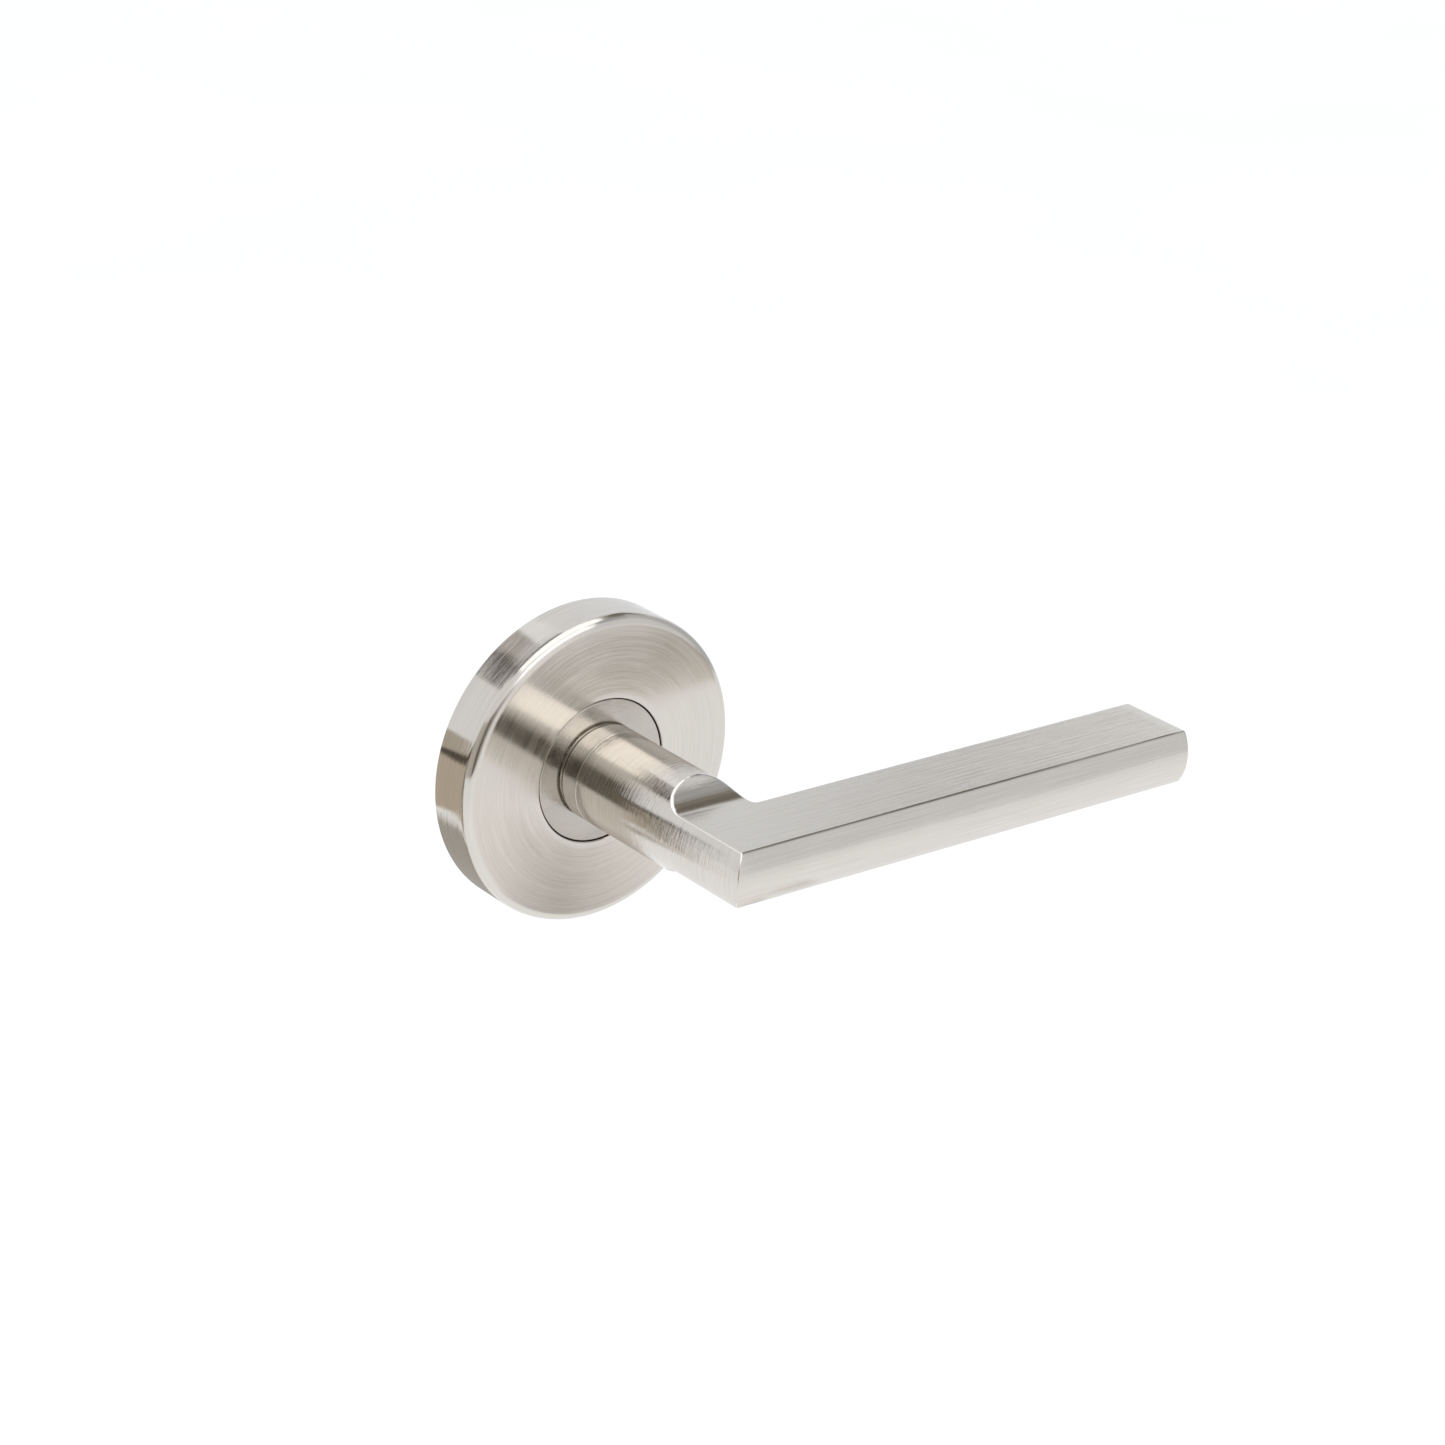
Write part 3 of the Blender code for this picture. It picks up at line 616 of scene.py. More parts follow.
def build_housing():
    """Cast plate and spring housing: only its turned boss shows from the front."""
    seat_r = 9.1 * MM
    cage_r = 12.7 * MM
    pocket_r = 10.9 * MM
    pocket_rear = 7.7 * MM
    step_r = 20.2 * MM
    step_front = 6.2 * MM
    recess_r = 16.9 * MM
    outside = (BOSS_FRONT, BOSS_R, step_front, step_r, PLATE_THICKNESS, PLATE_R, 0)
    inside = (recess_r, CAGE_REAR, cage_r, pocket_rear, pocket_r, CAGE_FRONT, seat_r)
    profile = stepped(seat_r, *outside, *inside)
    housing = turned("spring_housing", soften(profile, 0.18 * MM), 192)

    lug_half = 3.5 * MM
    lug_foot = -sqrt(PLATE_R**2 - lug_half**2) + 0.1 * MM
    low = (-lug_half, -6.4 * MM, lug_foot)
    high = (lug_half, -1.0 * MM, -26.8 * MM)
    carve(housing, [block("cover_lug", low, high, 0.4 * MM)], "UNION")

    half_sweep = HALF_ARM + ARM_TRAVEL
    sweep = arc(CAM_ARM_R + 0.3 * MM, DOWN - half_sweep, DOWN + half_sweep, 48)
    sweep += arc(CAM_R, DOWN + half_sweep, DOWN - half_sweep, 48)
    pocket = prism("arm_pocket", sweep, pocket_rear - 0.5 * MM, CAGE_FRONT + 0.1 * MM)
    notch_half = 0.95 * MM
    low = (-15.6 * MM, -6.0 * MM, -notch_half)
    high = (0.5 * MM - cage_r, -3.0 * MM, notch_half)
    cutters = [pocket, block("spring_notch", low, high, 0.25 * MM)]
    hole_r = CAGE_SCREW_R + 0.05 * MM
    for x, z in (polar(*place) for place in CAGE_SCREWS):
        ends = ((x, 0.01 * MM - CAGE_REAR, z), (x, -5.9 * MM, z))
        cutters.append(rod("screw_hole", hole_r, *ends, 24))
    seat_rear = PLATE_THICKNESS - 0.1 * MM
    hole_r = POST_R + 0.06 * MM
    head_r = POST_HEAD_R + 0.3 * MM
    chamfer = 0.35 * MM
    hole = [(0, -2.0 * MM), (hole_r + chamfer, -2.0 * MM), (hole_r + chamfer, 0)]
    hole += [(hole_r, chamfer), (hole_r, seat_rear), (head_r, seat_rear)]
    hole += [(head_r, 8.0 * MM), (0, 8.0 * MM)]
    cutters += [turned("post_hole", hole, 48, (0, z)) for z in POST_PLACES.values()]
    hole_r = COVER_GRUB_R + 0.06 * MM
    ends = (-32.0 * MM, -25.8 * MM)
    cutters.append(upright_rod("lug_thread", hole_r, COVER_GRUB_DEPTH, *ends, 32))
    carve(housing, cutters)
    return belongs(housing, "rose", "mounting_plate")


def build_back_plate():
    """Steel disc that closes the housing, held by three countersunk screws."""
    rear, front = depths("cage_back_plate")
    bore = 8.5 * MM
    radius = 16.8 * MM
    profile = stepped(bore, rear, radius, front, bore)
    plate = turned("back_plate", soften(profile, 0.07 * MM, 3), 144)
    sink_r = 1.86 * MM
    hole_r = 1.2 * MM
    past = 0.5 * MM
    hole = [(0, rear - past), (sink_r, rear - past), (sink_r, rear + 0.02 * MM)]
    hole += [(hole_r, rear + 0.75 * MM), (hole_r, front + past), (0, front + past)]
    cutters = [turned("countersink", hole, 40, polar(*place)) for place in CAGE_SCREWS]
    carve(plate, cutters)
    return belongs(plate, "rose", "cage_back_plate")


def build_cage_screw(index):
    x, z = polar(*CAGE_SCREWS[index])
    head_rear = 2.12 * MM
    head_front = head_rear + 0.72 * MM
    tip = 5.5 * MM
    profile = [(0, head_rear), (1.72 * MM, head_rear), (1.8 * MM, head_rear + 0.08 * MM)]
    profile += [(CAGE_SCREW_R, head_front)]
    profile += thread(CAGE_SCREW_R, 0.86 * MM, head_front + 0.1 * MM, tip - 0.2 * MM, 0.4 * MM)
    profile += [(0.7 * MM, tip), (0, tip)]
    screw = turned(f"plate_screw_{index + 1}", profile, 40, (x, z))
    half = 0.2 * MM
    reach = 1.05 * MM
    rear = -1.5 * MM
    front = -head_rear - 0.42 * MM
    across = block("across", (x - reach, front, z - half), (x + reach, rear, z + half))
    upright = block("upright", (x - half, front, z - reach), (x + half, rear, z + reach))
    carve(screw, [across, upright])
    return belongs(screw, "rose", f"cage_screw_{index + 1}")


def build_bush(name, node, slot, journal_r, outer, flange_r, seat):
    """A flanged bush for a journal, whose flange runs from just off its seat to the front."""
    rear, front = depths(node)
    bore = journal_r + 0.1 * MM
    step = seat + 0.1 * MM
    profile = stepped(bore, rear, outer, step, flange_r, front, bore)
    bush = turned(name, soften(profile, 0.12 * MM), 144)
    return belongs(bush, "rose", node)


def build_spring():
    """Torsion spring: a leg out to the housing's notch, the coil, a leg forward into the cam."""
    bend = 1.0 * MM
    path = [(-15.2 * MM, -SPRING_REAR, 0.0)]
    path += [(-SPRING_R - bend - run * MM, -SPRING_REAR, 0.0) for run in (3.5, 2, 1, 0.4)]
    for x, z in arc(bend, DOWN, 0, 8):
        path.append((-SPRING_R - bend + x, -SPRING_REAR, bend + z))
    start = bend / SPRING_R / (2 * pi)
    curve = 0.8 * MM
    end = SPRING_TURNS - curve / SPRING_R / (2 * pi)
    coil_steps = 120
    for i in range(1, coil_steps + 1):
        turn = start + (end - start) * i / coil_steps
        x, z = polar(SPRING_R, pi - 2 * pi * turn)
        path.append((x, -SPRING_REAR - SPRING_PITCH * turn, z))
    coil_front = -path[-1][1]
    for corner in quarter(8, 1):
        turn = end + (SPRING_TURNS - end) * sin(corner)
        x, z = polar(SPRING_R, pi - 2 * pi * turn)
        path.append((x, -coil_front - curve * (1 - cos(corner)), z))
    path += [(x, -depth, z) for depth in (8.3 * MM, 8.7 * MM, CAM_FRONT)]
    spring = tube("torsion_spring", path, WIRE_R, 20)
    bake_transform(spring)
    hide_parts("return_spring")
    return spring


def build_post(place):
    """Bolt post: a headed steel tube, threaded inside, that reaches into the door."""
    rear, front = depths(f"bolt_post_{place}")
    head_rear = PLATE_THICKNESS + 0.3 * MM
    bore = 1.65 * MM
    groove = 1.98 * MM
    profile = [(0, front), (POST_HEAD_R - 0.3 * MM, front), (POST_HEAD_R, front - 0.3 * MM)]
    profile += [(POST_HEAD_R, head_rear), (POST_R + 0.03 * MM, head_rear)]
    profile += [(POST_R, head_rear - 0.3 * MM), (POST_R, rear + 0.45 * MM)]
    profile += [(POST_R - 0.1 * MM, rear + 0.15 * MM), (POST_R - 0.35 * MM, rear)]
    profile += [(groove + 0.1 * MM, rear), (groove - 0.1 * MM, rear + 0.2 * MM)]
    profile += thread(bore, groove, rear + 0.45 * MM, -1.6 * MM, 0.7 * MM)
    profile += [(0, -0.7 * MM)]
    post = turned(f"door_bolt_post_{place}", profile, 72, (0, POST_PLACES[place]))
    return belongs(post, "rose", f"bolt_post_{place}")


def build_grub(name, node, body, radius, depth, pitch):
    """Socket set screw on end under the axis: cup point up, hexagon socket down."""
    low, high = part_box(node)
    root = radius - 0.6 * pitch
    profile = [(0, -high.z + 0.3 * MM), (0.45 * radius, -high.z)]
    profile += [(0.62 * radius, -high.z), (root, -high.z + 0.25 * MM)]
    profile += thread(radius, root, -high.z + 0.45 * MM, -low.z - 0.25 * MM, pitch)
    profile += [(radius - 0.2 * MM, -low.z), (0.58 * radius, -low.z)]
    profile += [(0.52 * radius, -low.z - 0.12 * MM), (0, -low.z - 0.12 * MM)]
    screw = turned(name, profile, 40)
    place = Matrix.Translation((0, -depth, 0))
    moved(screw, place @ Matrix.Rotation(pi / 2, 4, "X"))
    socket = prism("socket", hexagon(radius), low.z - 1.0 * MM, low.z + 1.6 * MM)
    carve(screw, [moved(socket, place @ Matrix.Rotation(-pi / 2, 4, "X"))])
    return belongs(screw, body, node)


# ---- Hub, cam, clip, spindle and pin ----


def pin_cut():
    """The cross hole for the roll pin, through the hub and the spindle."""
    reach = 9.0 * MM
    return rod("pin_hole", PIN_R + 0.06 * MM, (-reach, -PIN_DEPTH, 0), (reach, -PIN_DEPTH, 0), 32)


def build_hub():
    """Turned shaft inside the neck and housing, broached square for the spindle."""
    rear, front = depths("lever_hub")
    journal = REAR_JOURNAL_R
    groove_r = 6.4 * MM
    groove_rear = 0.6 * MM
    groove_front = 1.4 * MM
    cam_seat_r = 7.85 * MM
    flat = 6.2 * MM
    seat_rear = 7.8 * MM
    seat_front = 9.25 * MM
    tenon_r = 7.5 * MM
    tenon_rear = 16.0 * MM
    outer = 9.0 * MM
    behind = (rear, journal, groove_rear, groove_r, groove_front, journal, seat_rear)
    ahead = (cam_seat_r, seat_front, JOURNAL_R, tenon_rear, tenon_r, front, 0)
    profile = stepped(0, *behind, *ahead)
    hub = turned("neck_hub", soften(profile, 0.1 * MM, 3), 128)
    half = SPINDLE_SIDE / 2 + 0.1 * MM
    cutters = [block("spindle_square", (-half, -27.6 * MM, -half), (half, 1.0 * MM, half))]
    low = (flat, 0.06 * MM - seat_front, -outer)
    high = (outer, 0.25 * MM - seat_rear, outer)
    for i in range(4):
        quarter_turn = Matrix.Rotation(pi / 2 * i, 4, "Y")
        cutters.append(moved(block("cam_flat", low, high), quarter_turn))
    cutters.append(pin_cut())
    hole_r = GRUB_R + 0.06 * MM
    cutters.append(upright_rod("hub_thread", hole_r, NECK_GRUB_DEPTH, -3.0 * MM, -outer, 32))
    carve(hub, cutters)
    return belongs(hub, "lever", "lever_hub")


def build_cam():
    """Stamped plate on the hub's flats, its arm between the housing's stops."""
    flank = HALF_ARM + 0.01
    outline = arc(CAM_R, DOWN + flank, DOWN - flank + 2 * pi, 120)
    arm = arc(CAM_ARM_R, DOWN - HALF_ARM, DOWN + HALF_ARM, 24)
    arm[0] = polar(CAM_ARM_R - 0.3 * MM, DOWN - HALF_ARM)
    arm[-1] = polar(CAM_ARM_R - 0.3 * MM, DOWN + HALF_ARM)
    cam = prism("stop_cam", outline + arm, CAM_REAR, CAM_FRONT, 0.1 * MM)
    seat = []
    seat_steps = 96
    for i in range(seat_steps):
        angle = 2 * pi * i / seat_steps
        reach = 6.28 * MM / max(abs(cos(angle)), abs(sin(angle)))
        seat.append(polar(min(7.93 * MM, reach), angle))
    bore = prism("cam_bore", seat, CAM_REAR - 1 * MM, CAM_FRONT + 1 * MM)
    x, z = polar(SPRING_R, pi - 2 * pi * SPRING_TURNS)
    start = (x, -CAM_REAR + 1 * MM, z)
    end = (x, -CAM_FRONT - 1 * MM, z)
    carve(cam, [bore, rod("leg_hole", WIRE_R + 0.1 * MM, start, end, 24)])
    return belongs(cam, "lever", "driver_cam")


def build_washer():
    rear, front = depths("rear_washer")
    bore = REAR_JOURNAL_R + 0.12 * MM
    outer = 10.0 * MM
    profile = stepped(bore, rear, outer, front, bore)
    washer = turned("hub_washer", soften(profile, 0.08 * MM, 3), 96)
    return belongs(washer, "lever", "rear_washer")


def build_circlip():
    """External circlip: a tapering ring with two eyed lugs."""
    rear, front = depths("circlip")
    top = pi / 2
    half_mouth = radians(28)
    lug = radians(16)
    inner = 6.55 * MM
    outline = []
    steps = 90
    span = 2 * pi - 2 * half_mouth
    for i in range(steps + 1):
        turn = span * i / steps
        width = 1.35 * MM + 0.35 * MM * sin(turn / span * pi)
        if min(turn, span - turn) < lug:
            width = 2.2 * MM
        outline.append(polar(inner + width, top + half_mouth + turn))
    outline += arc(inner, top + 2 * pi - half_mouth, top + half_mouth, steps)
    clip = prism("hub_circlip", outline, rear, front, 0.05 * MM)
    eyes = []
    for side in (1, -1):
        x, z = polar(7.7 * MM, top + side * (half_mouth + lug / 2))
        eyes.append(rod("eye", 0.5 * MM, (x, 0, z), (x, -3 * MM, z), 24))
    carve(clip, eyes)
    return belongs(clip, "lever", "circlip")


def build_spindle():
    """Square bar, its long edges and both ends chamfered."""
    rear, front = depths("spindle")
    half = SPINDLE_SIDE / 2
    bar = block("square_spindle", (-half, -front, -half), (half, -rear, half))
    bm = bmesh.new()
    bm.from_mesh(bar.data)

    def edges_where(fits):
        """The edges whose two vertices' Y values fit."""
        return [edge for edge in bm.edges if fits(*(vert.co.y for vert in edge.verts))]

    def at_end(a, b):
        return abs(a - b) < 0.01 * MM and min(abs(a + rear), abs(a + front)) < 0.01 * MM

    long_edges = edges_where(lambda a, b: abs(a - b) > 10 * MM)
    bmesh.ops.bevel(bm, geom=long_edges, offset=0.4 * MM, segments=3, affect="EDGES")
    ends = edges_where(at_end)
    bmesh.ops.bevel(bm, geom=ends, offset=0.35 * MM, segments=2, affect="EDGES")
    bm.to_mesh(bar.data)
    bm.free()
    carve(bar, [pin_cut()])
    return belongs(bar, "lever", "spindle")


def build_pin():
    """Roll pin across the hub and spindle."""
    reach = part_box("spindle_pin")[1].x
    bore = 0.55 * MM
    end_r = 1.05 * MM
    taper = 0.3 * MM
    profile = [(bore, -reach), (end_r, -reach), (PIN_R, taper - reach)]
    profile += [(PIN_R, reach - taper), (end_r, reach), (bore, reach)]
    pin = turned("roll_pin", profile, 48)
    across = Matrix.Rotation(pi / 2, 4, "Z")
    moved(pin, Matrix.Translation((0, -PIN_DEPTH, 0)) @ across)
    return belongs(pin, "lever", "spindle_pin")


# ---- Materials ----

NICKEL = (0.66, 0.615, 0.555)
BOSS_NICKEL = (0.52, 0.48, 0.43)
# Painted highlight: a brighter nickel that stands in for the highlight along the neck's edges.
HIGHLIGHT_EDGE_NICKEL = (0.79, 0.76, 0.71)
ZINC_ALLOY = (0.40, 0.40, 0.40)
ZINC_PLATE = (0.47, 0.49, 0.52)
SPRING_STEEL = (0.20, 0.20, 0.215)
BLACK_STEEL = (0.045, 0.045, 0.05)
BLACK_NYLON = (0.03, 0.03, 0.032)


class Nodes:
    """The node tree of a new material or world, with short calls to add and join its nodes."""

    def __init__(self, name, kind=bpy.data.materials, output="OutputMaterial"):
        self.owner = kind.new(name)
        self.owner.use_nodes = True
        self.tree = self.owner.node_tree
        self.tree.nodes.clear()
        self.output = self.add(output)

    def add(self, kind, settings=None, **inputs):
        """A new node. An input is given by its name, or by _ and its number."""
        node = self.tree.nodes.new("ShaderNode" + kind)
        for key, value in (settings or {}).items():
            setattr(node, key, value)
        for key, value in inputs.items():
            self.set(node, key, value)
        return node

    def set(self, node, key, value):
        socket = node.inputs[int(key[1:]) if key[1:].isdigit() else key.replace("_", " ")]
        if isinstance(value, bpy.types.NodeSocket):
            self.tree.links.new(value, socket)
        else:
            socket.default_value = value

    def math(self, operation, *values):
        node = self.add("Math", {"operation": operation})
        for i, value in enumerate(values):
            self.set(node, f"_{i}", value)
        return node.outputs[0]

    def sum(self, first, *others):
        for other in others:
            first = self.math("ADD", first, other)
        return first

    def combine(self, x, y, z):
        return self.add("CombineXYZ", X=x, Y=y, Z=z).outputs[0]

    def scaled(self, colour, factor):
        operation = {"operation": "SCALE"}
        return self.add("VectorMath", operation, _0=colour, Scale=factor).outputs[0]

    def noise(self, vector, scale, detail, rough, w=None):
        settings = {"noise_dimensions": "3D" if w is None else "4D"}
        node = self.add("TexNoise", settings, Vector=vector, Scale=scale)
        self.set(node, "Detail", detail)
        self.set(node, "Roughness", rough)
        if w is not None:
            self.set(node, "W", w)
        return node.outputs[0]

    def place(self):
        return self.add("TexCoord").outputs["Object"]

    def split(self, vector):
        return self.add("SeparateXYZ", Vector=vector).outputs

    def ranged(self, value, low, high, from_low=0.3, from_high=0.7):
        node = self.add("MapRange", Value=value)
        for i, number in enumerate((from_low, from_high, low, high)):
            node.inputs[i + 1].default_value = number
        return node.outputs[0]

    def surface(self, shader):
        self.set(self.output, "Surface", shader.outputs[0])

    def glow(self, colour):
        self.surface(self.add("Emission", Color=colour, Strength=1.0))


def streaks(nodes, layout, width, length):
    """Noise drawn out along the brushing: lines this wide and this long, in metres."""
    if layout == "mapped":
        u, v, _ = nodes.split(nodes.add("UVMap", {"uv_map": "brush"}).outputs[0])
        along = nodes.math("MULTIPLY", u, 1 / (BRUSH_SCALE * length))
        across = nodes.math("MULTIPLY", v, 1 / (BRUSH_SCALE * width))
        return nodes.noise(nodes.combine(along, across, 0.0), 1.0, 3.0, 0.6)
    x, y, z = nodes.split(nodes.place())
    flat = nodes.combine(x, 0.0, z)
    radius = nodes.add("VectorMath", {"operation": "LENGTH"}, _0=flat).outputs["Value"]
    spoke = nodes.add("VectorMath", {"operation": "NORMALIZE"}, _0=flat).outputs[0]
    across, _, up = nodes.split(spoke)
    turns = 20 * MM / length
    vector = nodes.combine(
        nodes.math("MULTIPLY", across, turns),
        nodes.math("MULTIPLY", radius, 1 / width),
        nodes.math("MULTIPLY", up, turns),
    )
    return nodes.noise(vector, 1.0, 3.0, 0.6, w=nodes.math("MULTIPLY", y, 1 / width))


def brushed_nickel(name, roughness, anisotropy, layout, length, width, depth):
    """Satin nickel with drawn lines, which tilt, dull and tint the surface along the brushing."""
    nodes = Nodes(name)
    fine = streaks(nodes, layout, width, length)
    broad = streaks(nodes, layout, 3.5 * width, 2 * length)
    cloud = nodes.noise(nodes.place(), 90.0, 3.0, 0.55)
    tone = nodes.sum(
        nodes.ranged(fine, -0.06, 0.06),
        nodes.ranged(broad, -0.03, 0.03),
        nodes.ranged(cloud, 0.985, 1.015),
    )
    rough = nodes.sum(
        nodes.ranged(fine, -0.05, 0.05),
        nodes.ranged(broad, -0.03, 0.03),
        nodes.ranged(cloud, roughness - 0.02, roughness + 0.02),
    )
    relief = nodes.sum(fine, nodes.math("MULTIPLY", broad, 1.6))
    bump = nodes.add("Bump", Strength=1.0, Distance=depth, Height=relief)
    direct = {"direction_type": "RADIAL", "axis": "Y"}
    if layout == "mapped":
        direct = {"direction_type": "UV_MAP", "uv_map": "brush"}
    tangent = nodes.add("Tangent", direct)
    colour = nodes.scaled(NICKEL, tone)
    shader = nodes.add("BsdfPrincipled", Base_Color=colour, Roughness=rough, Metallic=1.0)
    nodes.set(shader, "Anisotropic", anisotropy)
    nodes.set(shader, "Anisotropic_Rotation", 0.25)
    nodes.set(shader, "Normal", bump.outputs[0])
    nodes.set(shader, "Tangent", tangent.outputs[0])
    nodes.surface(shader)
    return nodes.owner


def worn_finish(name, colour, roughness, grain, depth, variation=0.10, metallic=1.0):
    """Plated, blackened, cast or moulded surface: patches and grain in colour and sheen."""
    nodes = Nodes(name)
    place = nodes.place()
    patches = nodes.noise(place, 160.0, 4.0, 0.6)
    fine = nodes.noise(place, 1 / grain, 4.0, 0.6)
    tone = nodes.sum(
        nodes.ranged(patches, 1 - variation, 1 + variation),
        nodes.ranged(fine, -0.06, 0.06),
    )
    rough = nodes.sum(
        nodes.ranged(patches, -0.06, 0.06),
        nodes.ranged(fine, roughness - 0.05, roughness + 0.05),
    )
    bump = nodes.add("Bump", Strength=1.0, Distance=depth, Height=fine)
    tint = nodes.scaled(colour, tone)
    shader = nodes.add("BsdfPrincipled", Base_Color=tint, Roughness=rough, Metallic=metallic)
    nodes.set(shader, "Normal", bump.outputs[0])
    nodes.surface(shader)
    return nodes.owner


def paint(obj, *materials, choose=None):
    """The first material, or on each face the one whose index choose(centre, normal) gives."""
    obj.data.materials.clear()
    for material in materials:
        obj.data.materials.append(material)
    if choose:
        for polygon in obj.data.polygons:
            polygon.material_index = choose(polygon.center, polygon.normal)


def on_highlight_edge(centre, normal):
    """The rounded edges round the neck's scoops and flats, painted brighter than the rest as a
    highlight.
    """
    reach = hypot(centre.x, centre.z)
    round_share = abs(normal.x * centre.x + normal.z * centre.z) / reach
    return (
        centre.x < 1.5 * MM
        and -GRIP_DEPTH - GRIP_R + MM < centre.y < -COVE_FOOT + COVE_R
        and reach > HALF_THICKNESS + 2 * MM
        and round_share < 0.995
        and abs(normal.z) < 0.97
        and abs(normal.x) > 0.15
        and abs(centre.z) < 0.98 * reach
    )


def lever_part(centre, normal):
    """0 for the grip and flats, 1 for the neck's round, 2 in the socket, 3 on an edge with a
    painted highlight.
    """
    reach = hypot(centre.x, centre.z)
    if centre.y > -SOCKET_END - 0.1 * MM and reach < GRIP_R - 1.5 * MM:
        return 2
    if on_highlight_edge(centre, normal):
        return 3
    return int(centre.x < GRIP_DEPTH + centre.y and reach > GRIP_R - 0.05 * MM)


def rose_part(centre, normal):
    """0 for the face and its edge, 1 for the rough inside, 2 for the rim."""
    radius = hypot(centre.x, centre.z)
    outward = (normal.x * centre.x + normal.z * centre.z) / radius
    in_wall = outward < -0.5 and radius > ROSE_HOLE_R + MM
    if in_wall or (normal.y > 0.5 and -centre.y > ROSE_RIM + 0.5 * MM):
        return 1
    return 2 if abs(normal.y) < 0.3 else 0


def housing_part(centre, normal):
    """0 for the turned boss, 1 for the rough casting behind it."""
    return int(hypot(centre.x, centre.z) > BOSS_R + 0.1 * MM or -centre.y < 9.0 * MM)


# ---- Studio ----

STUDIO_CENTRE = Vector((0.035, -0.035, 0.0))
COOL_WHITE = (0.965, 1.0, 1.055)
FLOOR_Z = -0.62
BOARD_Z = -34.5


def stage_mesh(name, verts, faces, material):
    mesh = bpy.data.meshes.new(name)
    mesh.from_pydata(verts, [], faces)
    mesh.materials.append(material)
    obj = add_object(name, mesh)
    return obj


def add_card(name, verts, faces, material):
    """A lit card that only reflections see: it shapes the light on the metal."""
    card = stage_mesh(name, verts, faces, material)
    for ray in ("camera", "diffuse", "shadow", "transmission"):
        setattr(card, "visible_" + ray, False)


def glowing(name, colour):
    """A plain number is a level of the studio's slightly cool white."""
    if not isinstance(colour, tuple):
        colour = tuple(colour * part for part in COOL_WHITE)
    nodes = Nodes(name)
    nodes.glow((*colour, 1.0))
    return nodes.owner


def make_curved_card(name, azimuths, elevations, colour, reach):
    """Part of a sphere round the studio's centre, between these angles in degrees."""
    columns = 12
    rows = 8
    verts = []
    faces = []
    for k in range((columns + 1) * (rows + 1)):
        j, i = divmod(k, columns + 1)
        azimuth = azimuths[0] + (azimuths[1] - azimuths[0]) * i / columns
        elevation = elevations[0] + (elevations[1] - elevations[0]) * j / rows
        verts.append(tuple(STUDIO_CENTRE + direction(azimuth, elevation) * reach))
        if i < columns and j < rows:
            faces.append((k, k + 1, k + columns + 2, k + columns + 1))
    add_card(name, verts, faces, glowing(name, colour))


def make_flat_card(name, corners, material):
    """A flat card with its corners in mm."""
    verts = [tuple(MM * value for value in corner) for corner in corners]
    add_card(name, verts, [tuple(range(len(verts)))], material)


def make_stand():
    """Glowing cards behind the rose, of which only the reflections show: a wooden stand with its
    side lit and its end and edge in painted shade, dark and shaded patches behind the neck and
    rim, and the floor behind in painted shade.
    """
    edge = [(-35, 7), (-45, 7.5), (-55, 14), (-66, 21)]
    side = edge + [(-64, -7), (-56, -42), (-47, -27), (-41, -14), (-35, -9)]
    end = [(-55, 14), (-66, 21), (-64, -7), (-59, -30), (-54, -30), (-52, -8)]
    under = [(-66, 13), (-55, 8), (-45, 4), (-35, 6)]
    glow = [(-46, 7.5), (-35, 7), (-35, 12), (-46, 13)]
    neck_dark = [(-35, 38.5), (-27, 38), (-8, 43), (-6, 52), (-36, 50)]
    rim_dark = [(-41, 40), (-37, 35.5), (-31, 38.5), (-25, 40.5), (-25, 49), (-33, 48.5)]
    rim_shade = [(-25, 40.5), (-14, 45), (-14, 52), (-25, 49)]
    # The stand's side is its lit tone; its end and edge are the same wood in painted shade.
    for name, y, outline, colour in (
        ("stand_side_lit", 7, side, (0.56, 0.50, 0.42)),
        ("stand_end_shaded", 6.5, end, (0.21, 0.185, 0.15)),
        ("stand_edge_shaded", 6, edge + under, (0.10, 0.085, 0.07)),
        ("stand_glow", 7, glow, (0.50, 0.46, 0.40)),
        ("dark_behind_neck", 3, neck_dark, (0.06, 0.055, 0.045)),
        ("dark_behind_rim", 18, rim_dark, (0.08, 0.075, 0.064)),
        ("shade_behind_rim", 18, rim_shade, (0.36, 0.34, 0.31)),
    ):
        make_flat_card(name, [(x, y, z) for x, z in outline], glowing(name, colour))
    # Painted shade: the floor behind the rose, darker than the pale floor.
    behind = [(x, y, BOARD_Z) for x, y in ((-48, 3), (-48, 45), (10, 40), (10, 3))]
    make_flat_card("floor_shade_behind", behind, glowing("floor_shade_behind", (0.46, 0.44, 0.41)))


def make_floor_painted_shadow():
    """Glowing cards for the pale floor in front of the rose's foot, with its shadow painted in: an
    upright part, and a flat one ahead of it.

    Both carry a painted shadow: darkest and warmest along one line as the rose's face sees them,
    brighter on each side, and darker towards the bottom of the upright part.
    """
    near = -41
    slant = 0.861
    dark_x = 15.5
    nodes = Nodes("ground")
    x, y, z = nodes.split(nodes.place())
    aside = nodes.math("ADD", nodes.math("MULTIPLY", y, slant), -(slant * near + dark_x) * MM)
    away = nodes.math("ABSOLUTE", nodes.math("ADD", x, aside))
    # Painted shade: the upright card darkens towards its bottom.
    foot = nodes.ranged(z, 0.85, 1.0, -50 * MM, -40 * MM)
    # Painted shadow levels: dim and warm where darkest, bright and slightly cool away from it.
    levels = ((0.67, 1.04), (0.655, 1.045), (0.645, 1.07))
    shades = [nodes.ranged(away, *ends, 1 * MM, 25 * MM) for ends in levels]
    nodes.glow(nodes.combine(*[nodes.math("MULTIPLY", shade, foot) for shade in shades]))
    upright = [(-12, near, -58), (46, near, -58), (46, near, -33), (-12, near, -33)]
    make_flat_card("foot_shadow_card", upright, nodes.owner)
    flat = [(-14, -40), (20.5, -40), (20.5, -67.5), (34, -67.5), (34, -80), (-14, -80)]
    make_flat_card("floor_shadow_ahead", [(x, y, BOARD_Z) for x, y in flat], nodes.owner)


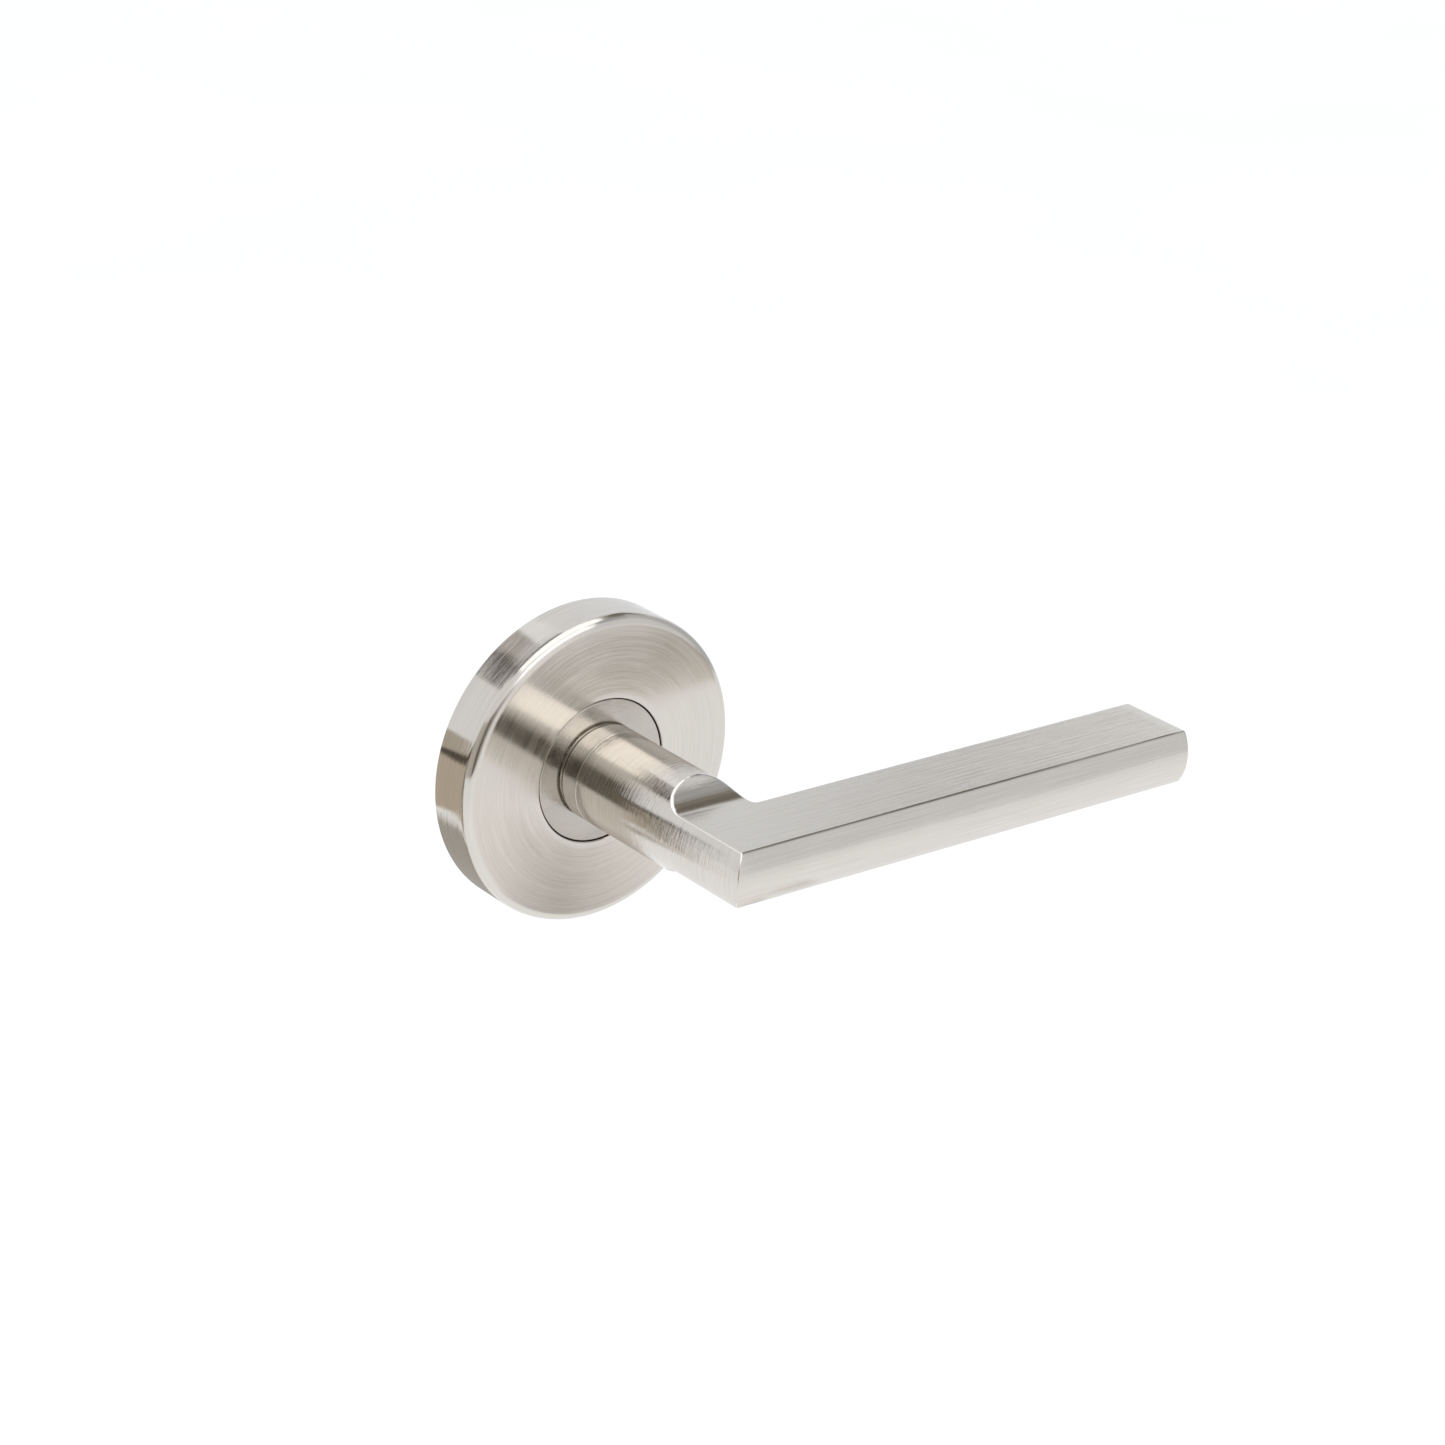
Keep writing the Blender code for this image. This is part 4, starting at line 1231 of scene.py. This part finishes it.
def make_softbox(name, azimuth, elevation, distance, width, height, radiance):
    data = bpy.data.lights.new(name, "AREA")
    data.shape = "RECTANGLE"
    data.size = width
    data.size_y = height
    data.energy = radiance * pi * width * height
    data.color = COOL_WHITE
    light = add_object(name, data)
    towards = direction(azimuth, elevation)
    light.location = STUDIO_CENTRE + towards * distance
    light.rotation_mode = "QUATERNION"
    light.rotation_quaternion = towards.to_track_quat("Z", "Y")
    light.visible_camera = False


def make_floor():
    nodes = Nodes("pale_floor")
    grey = nodes.ranged(nodes.noise(nodes.place(), 3.0, 3.0, 0.5), 0.48, 0.50)
    colour = nodes.combine(grey, grey, grey)
    shader = nodes.add("BsdfPrincipled", Base_Color=colour, Roughness=0.9)
    nodes.set(shader, "Specular_IOR_Level", 0.0)
    nodes.set(shader, "Emission_Color", (*COOL_WHITE, 1))
    nodes.set(shader, "Emission_Strength", 0.56)
    nodes.surface(shader)
    half = 9.0
    corners = ((-half, -half), (half, -half), (half, half), (-half, half))
    verts = [(x, y, FLOOR_Z) for x, y in corners]
    stage_mesh("floor", verts, [(0, 1, 2, 3)], nodes.owner)


def make_world():
    """White all round, a little darker towards the top."""
    nodes = Nodes("studio", bpy.data.worlds, "OutputWorld")
    height = nodes.split(nodes.add("TexCoord").outputs["Generated"])[2]
    level = nodes.ranged(height, 1.0, 0.92, 0.0, 0.25)
    nodes.surface(nodes.add("Background", Color=(0.985, 1.0, 1.02, 1.0), Strength=level))
    bpy.context.scene.world = nodes.owner
    bpy.context.scene.view_settings.view_transform = "Standard"


def make_studio():
    make_world()
    make_floor()
    make_softbox("key_softbox", 4, 43, 1.15, 1.00, 0.56, 1.13)
    make_softbox("top_softbox", 0, 88, 1.6, 1.8, 1.8, 0.80)
    for card in (
        ("upper_front", (-62, 33), (27, 66), 1.02, 1.40),
        ("camera_halo", (-68, -14), (-11, 26), (0.48, 0.46, 0.43), 1.30),
        ("camera_dark", (-53, -37.5), (-10, 20.5), (0.085, 0.08, 0.072), 1.20),
        ("tripod_dark", (-37.5, -32), (-9, 27), (0.085, 0.08, 0.072), 1.20),
        ("left_grey", (-113, -68), (-9, 24), (0.56, 0.54, 0.50), 1.30),
        ("right_front", (30, 62), (-9, 33), 0.83, 1.30),
        ("right_high", (32, 85), (33, 58), 0.455, 1.28),
        ("right_grey", (62, 114), (-9, 46), 0.60, 1.25),
        ("right_slot", (85, 112), (46, 60), (0.24, 0.22, 0.19), 1.22),
        ("back_right_dark", (110, 133), (27, 53), (0.18, 0.165, 0.14), 1.20),
        ("back_right_near", (112, 131.5), (-8, 25), 1.00, 1.25),
        ("back_right_next", (131.5, 134.5), (-8, 40), 0.97, 1.25),
        ("back_right_mid", (134.5, 139), (-8, 52), 0.86, 1.25),
        ("back_top", (166, 194), (28, 50), 1.06, 1.30),
        ("back_right_light", (139, 165), (-8, 52), 0.93, 1.25),
        ("back_left_mid", (-150, -113), (-4, 28), 0.95, 1.30),
    ):
        make_curved_card(*card)
    make_floor_painted_shadow()
    make_stand()


# ---- Build ----

make_camera()
make_studio()

ring_nickel = brushed_nickel("nickel_ring", 0.10, 0.75, "turned", 6 * MM, 0.2 * MM, 0.016 * MM)
rose_nickel = brushed_nickel("nickel_rose", 0.175, 0.92, "turned", 8 * MM, 0.16 * MM, 0.0015 * MM)
rim_nickel = brushed_nickel("nickel_rim", 0.11, 0.85, "turned", 9 * MM, 0.26 * MM, 0.024 * MM)
neck_nickel = brushed_nickel("nickel_neck", 0.08, 0.72, "mapped", 6 * MM, 0.2 * MM, 0.018 * MM)
grip_nickel = brushed_nickel("nickel_grip", 0.14, 0.85, "mapped", 22 * MM, 0.2 * MM, 0.02 * MM)
boss_nickel = worn_finish("nickel_boss", BOSS_NICKEL, 0.19, 0.4 * MM, 0.02 * MM, 0.09)
# Painted highlight: the neck's rounded edges get this brighter nickel.
highlight_edge_nickel = worn_finish("nickel_edge_painted_highlight", HIGHLIGHT_EDGE_NICKEL, 0.32, 0.3 * MM, 0.002 * MM, 0.05)
cast_zinc = worn_finish("cast_zinc", ZINC_ALLOY, 0.42, 0.35 * MM, 0.03 * MM)
zinc_plate = worn_finish("zinc_plate", ZINC_PLATE, 0.30, 0.5 * MM, 0.006 * MM)
spring_steel = worn_finish("spring_steel", SPRING_STEEL, 0.32, 0.3 * MM, 0.006 * MM)
black_steel = worn_finish("black_oxide", BLACK_STEEL, 0.42, 0.3 * MM, 0.01 * MM, 0.25)
nylon = worn_finish("black_nylon", BLACK_NYLON, 0.55, 0.25 * MM, 0.01 * MM, 0.2, metallic=0.0)

paint(build_lever(), grip_nickel, neck_nickel, cast_zinc, highlight_edge_nickel, choose=lever_part)
paint(build_rose(), rose_nickel, cast_zinc, rim_nickel, choose=rose_part)
paint(build_ring(), ring_nickel)
paint(build_housing(), boss_nickel, cast_zinc, choose=housing_part)
paint(build_back_plate(), zinc_plate)
for number in range(len(CAGE_SCREWS)):
    paint(build_cage_screw(number), zinc_plate)
sizes = (JOURNAL_R, 9.0 * MM, 9.6 * MM, BOSS_FRONT)
paint(build_bush("boss_bush", "front_bush", "satin_nickel", *sizes), ring_nickel)
sizes = (REAR_JOURNAL_R, 8.42 * MM, 9.8 * MM, CAGE_REAR)
paint(build_bush("plate_bush", "rear_bush", "black_nylon", *sizes), nylon)
paint(build_spring(), spring_steel)
for place in POST_PLACES:
    paint(build_post(place), zinc_plate)
for build in (build_hub, build_cam, build_washer):
    paint(build(), zinc_plate)
paint(build_circlip(), spring_steel)
paint(build_spindle(), zinc_plate)
paint(build_pin(), spring_steel)
for grub in (
    ("rose_set_screw", "cover_grub_screw", "rose", COVER_GRUB_R, COVER_GRUB_DEPTH, 0.5 * MM),
    ("neck_set_screw", "neck_grub_screw", "lever", GRUB_R, NECK_GRUB_DEPTH, 0.7 * MM),
):
    paint(build_grub(*grub), black_steel)
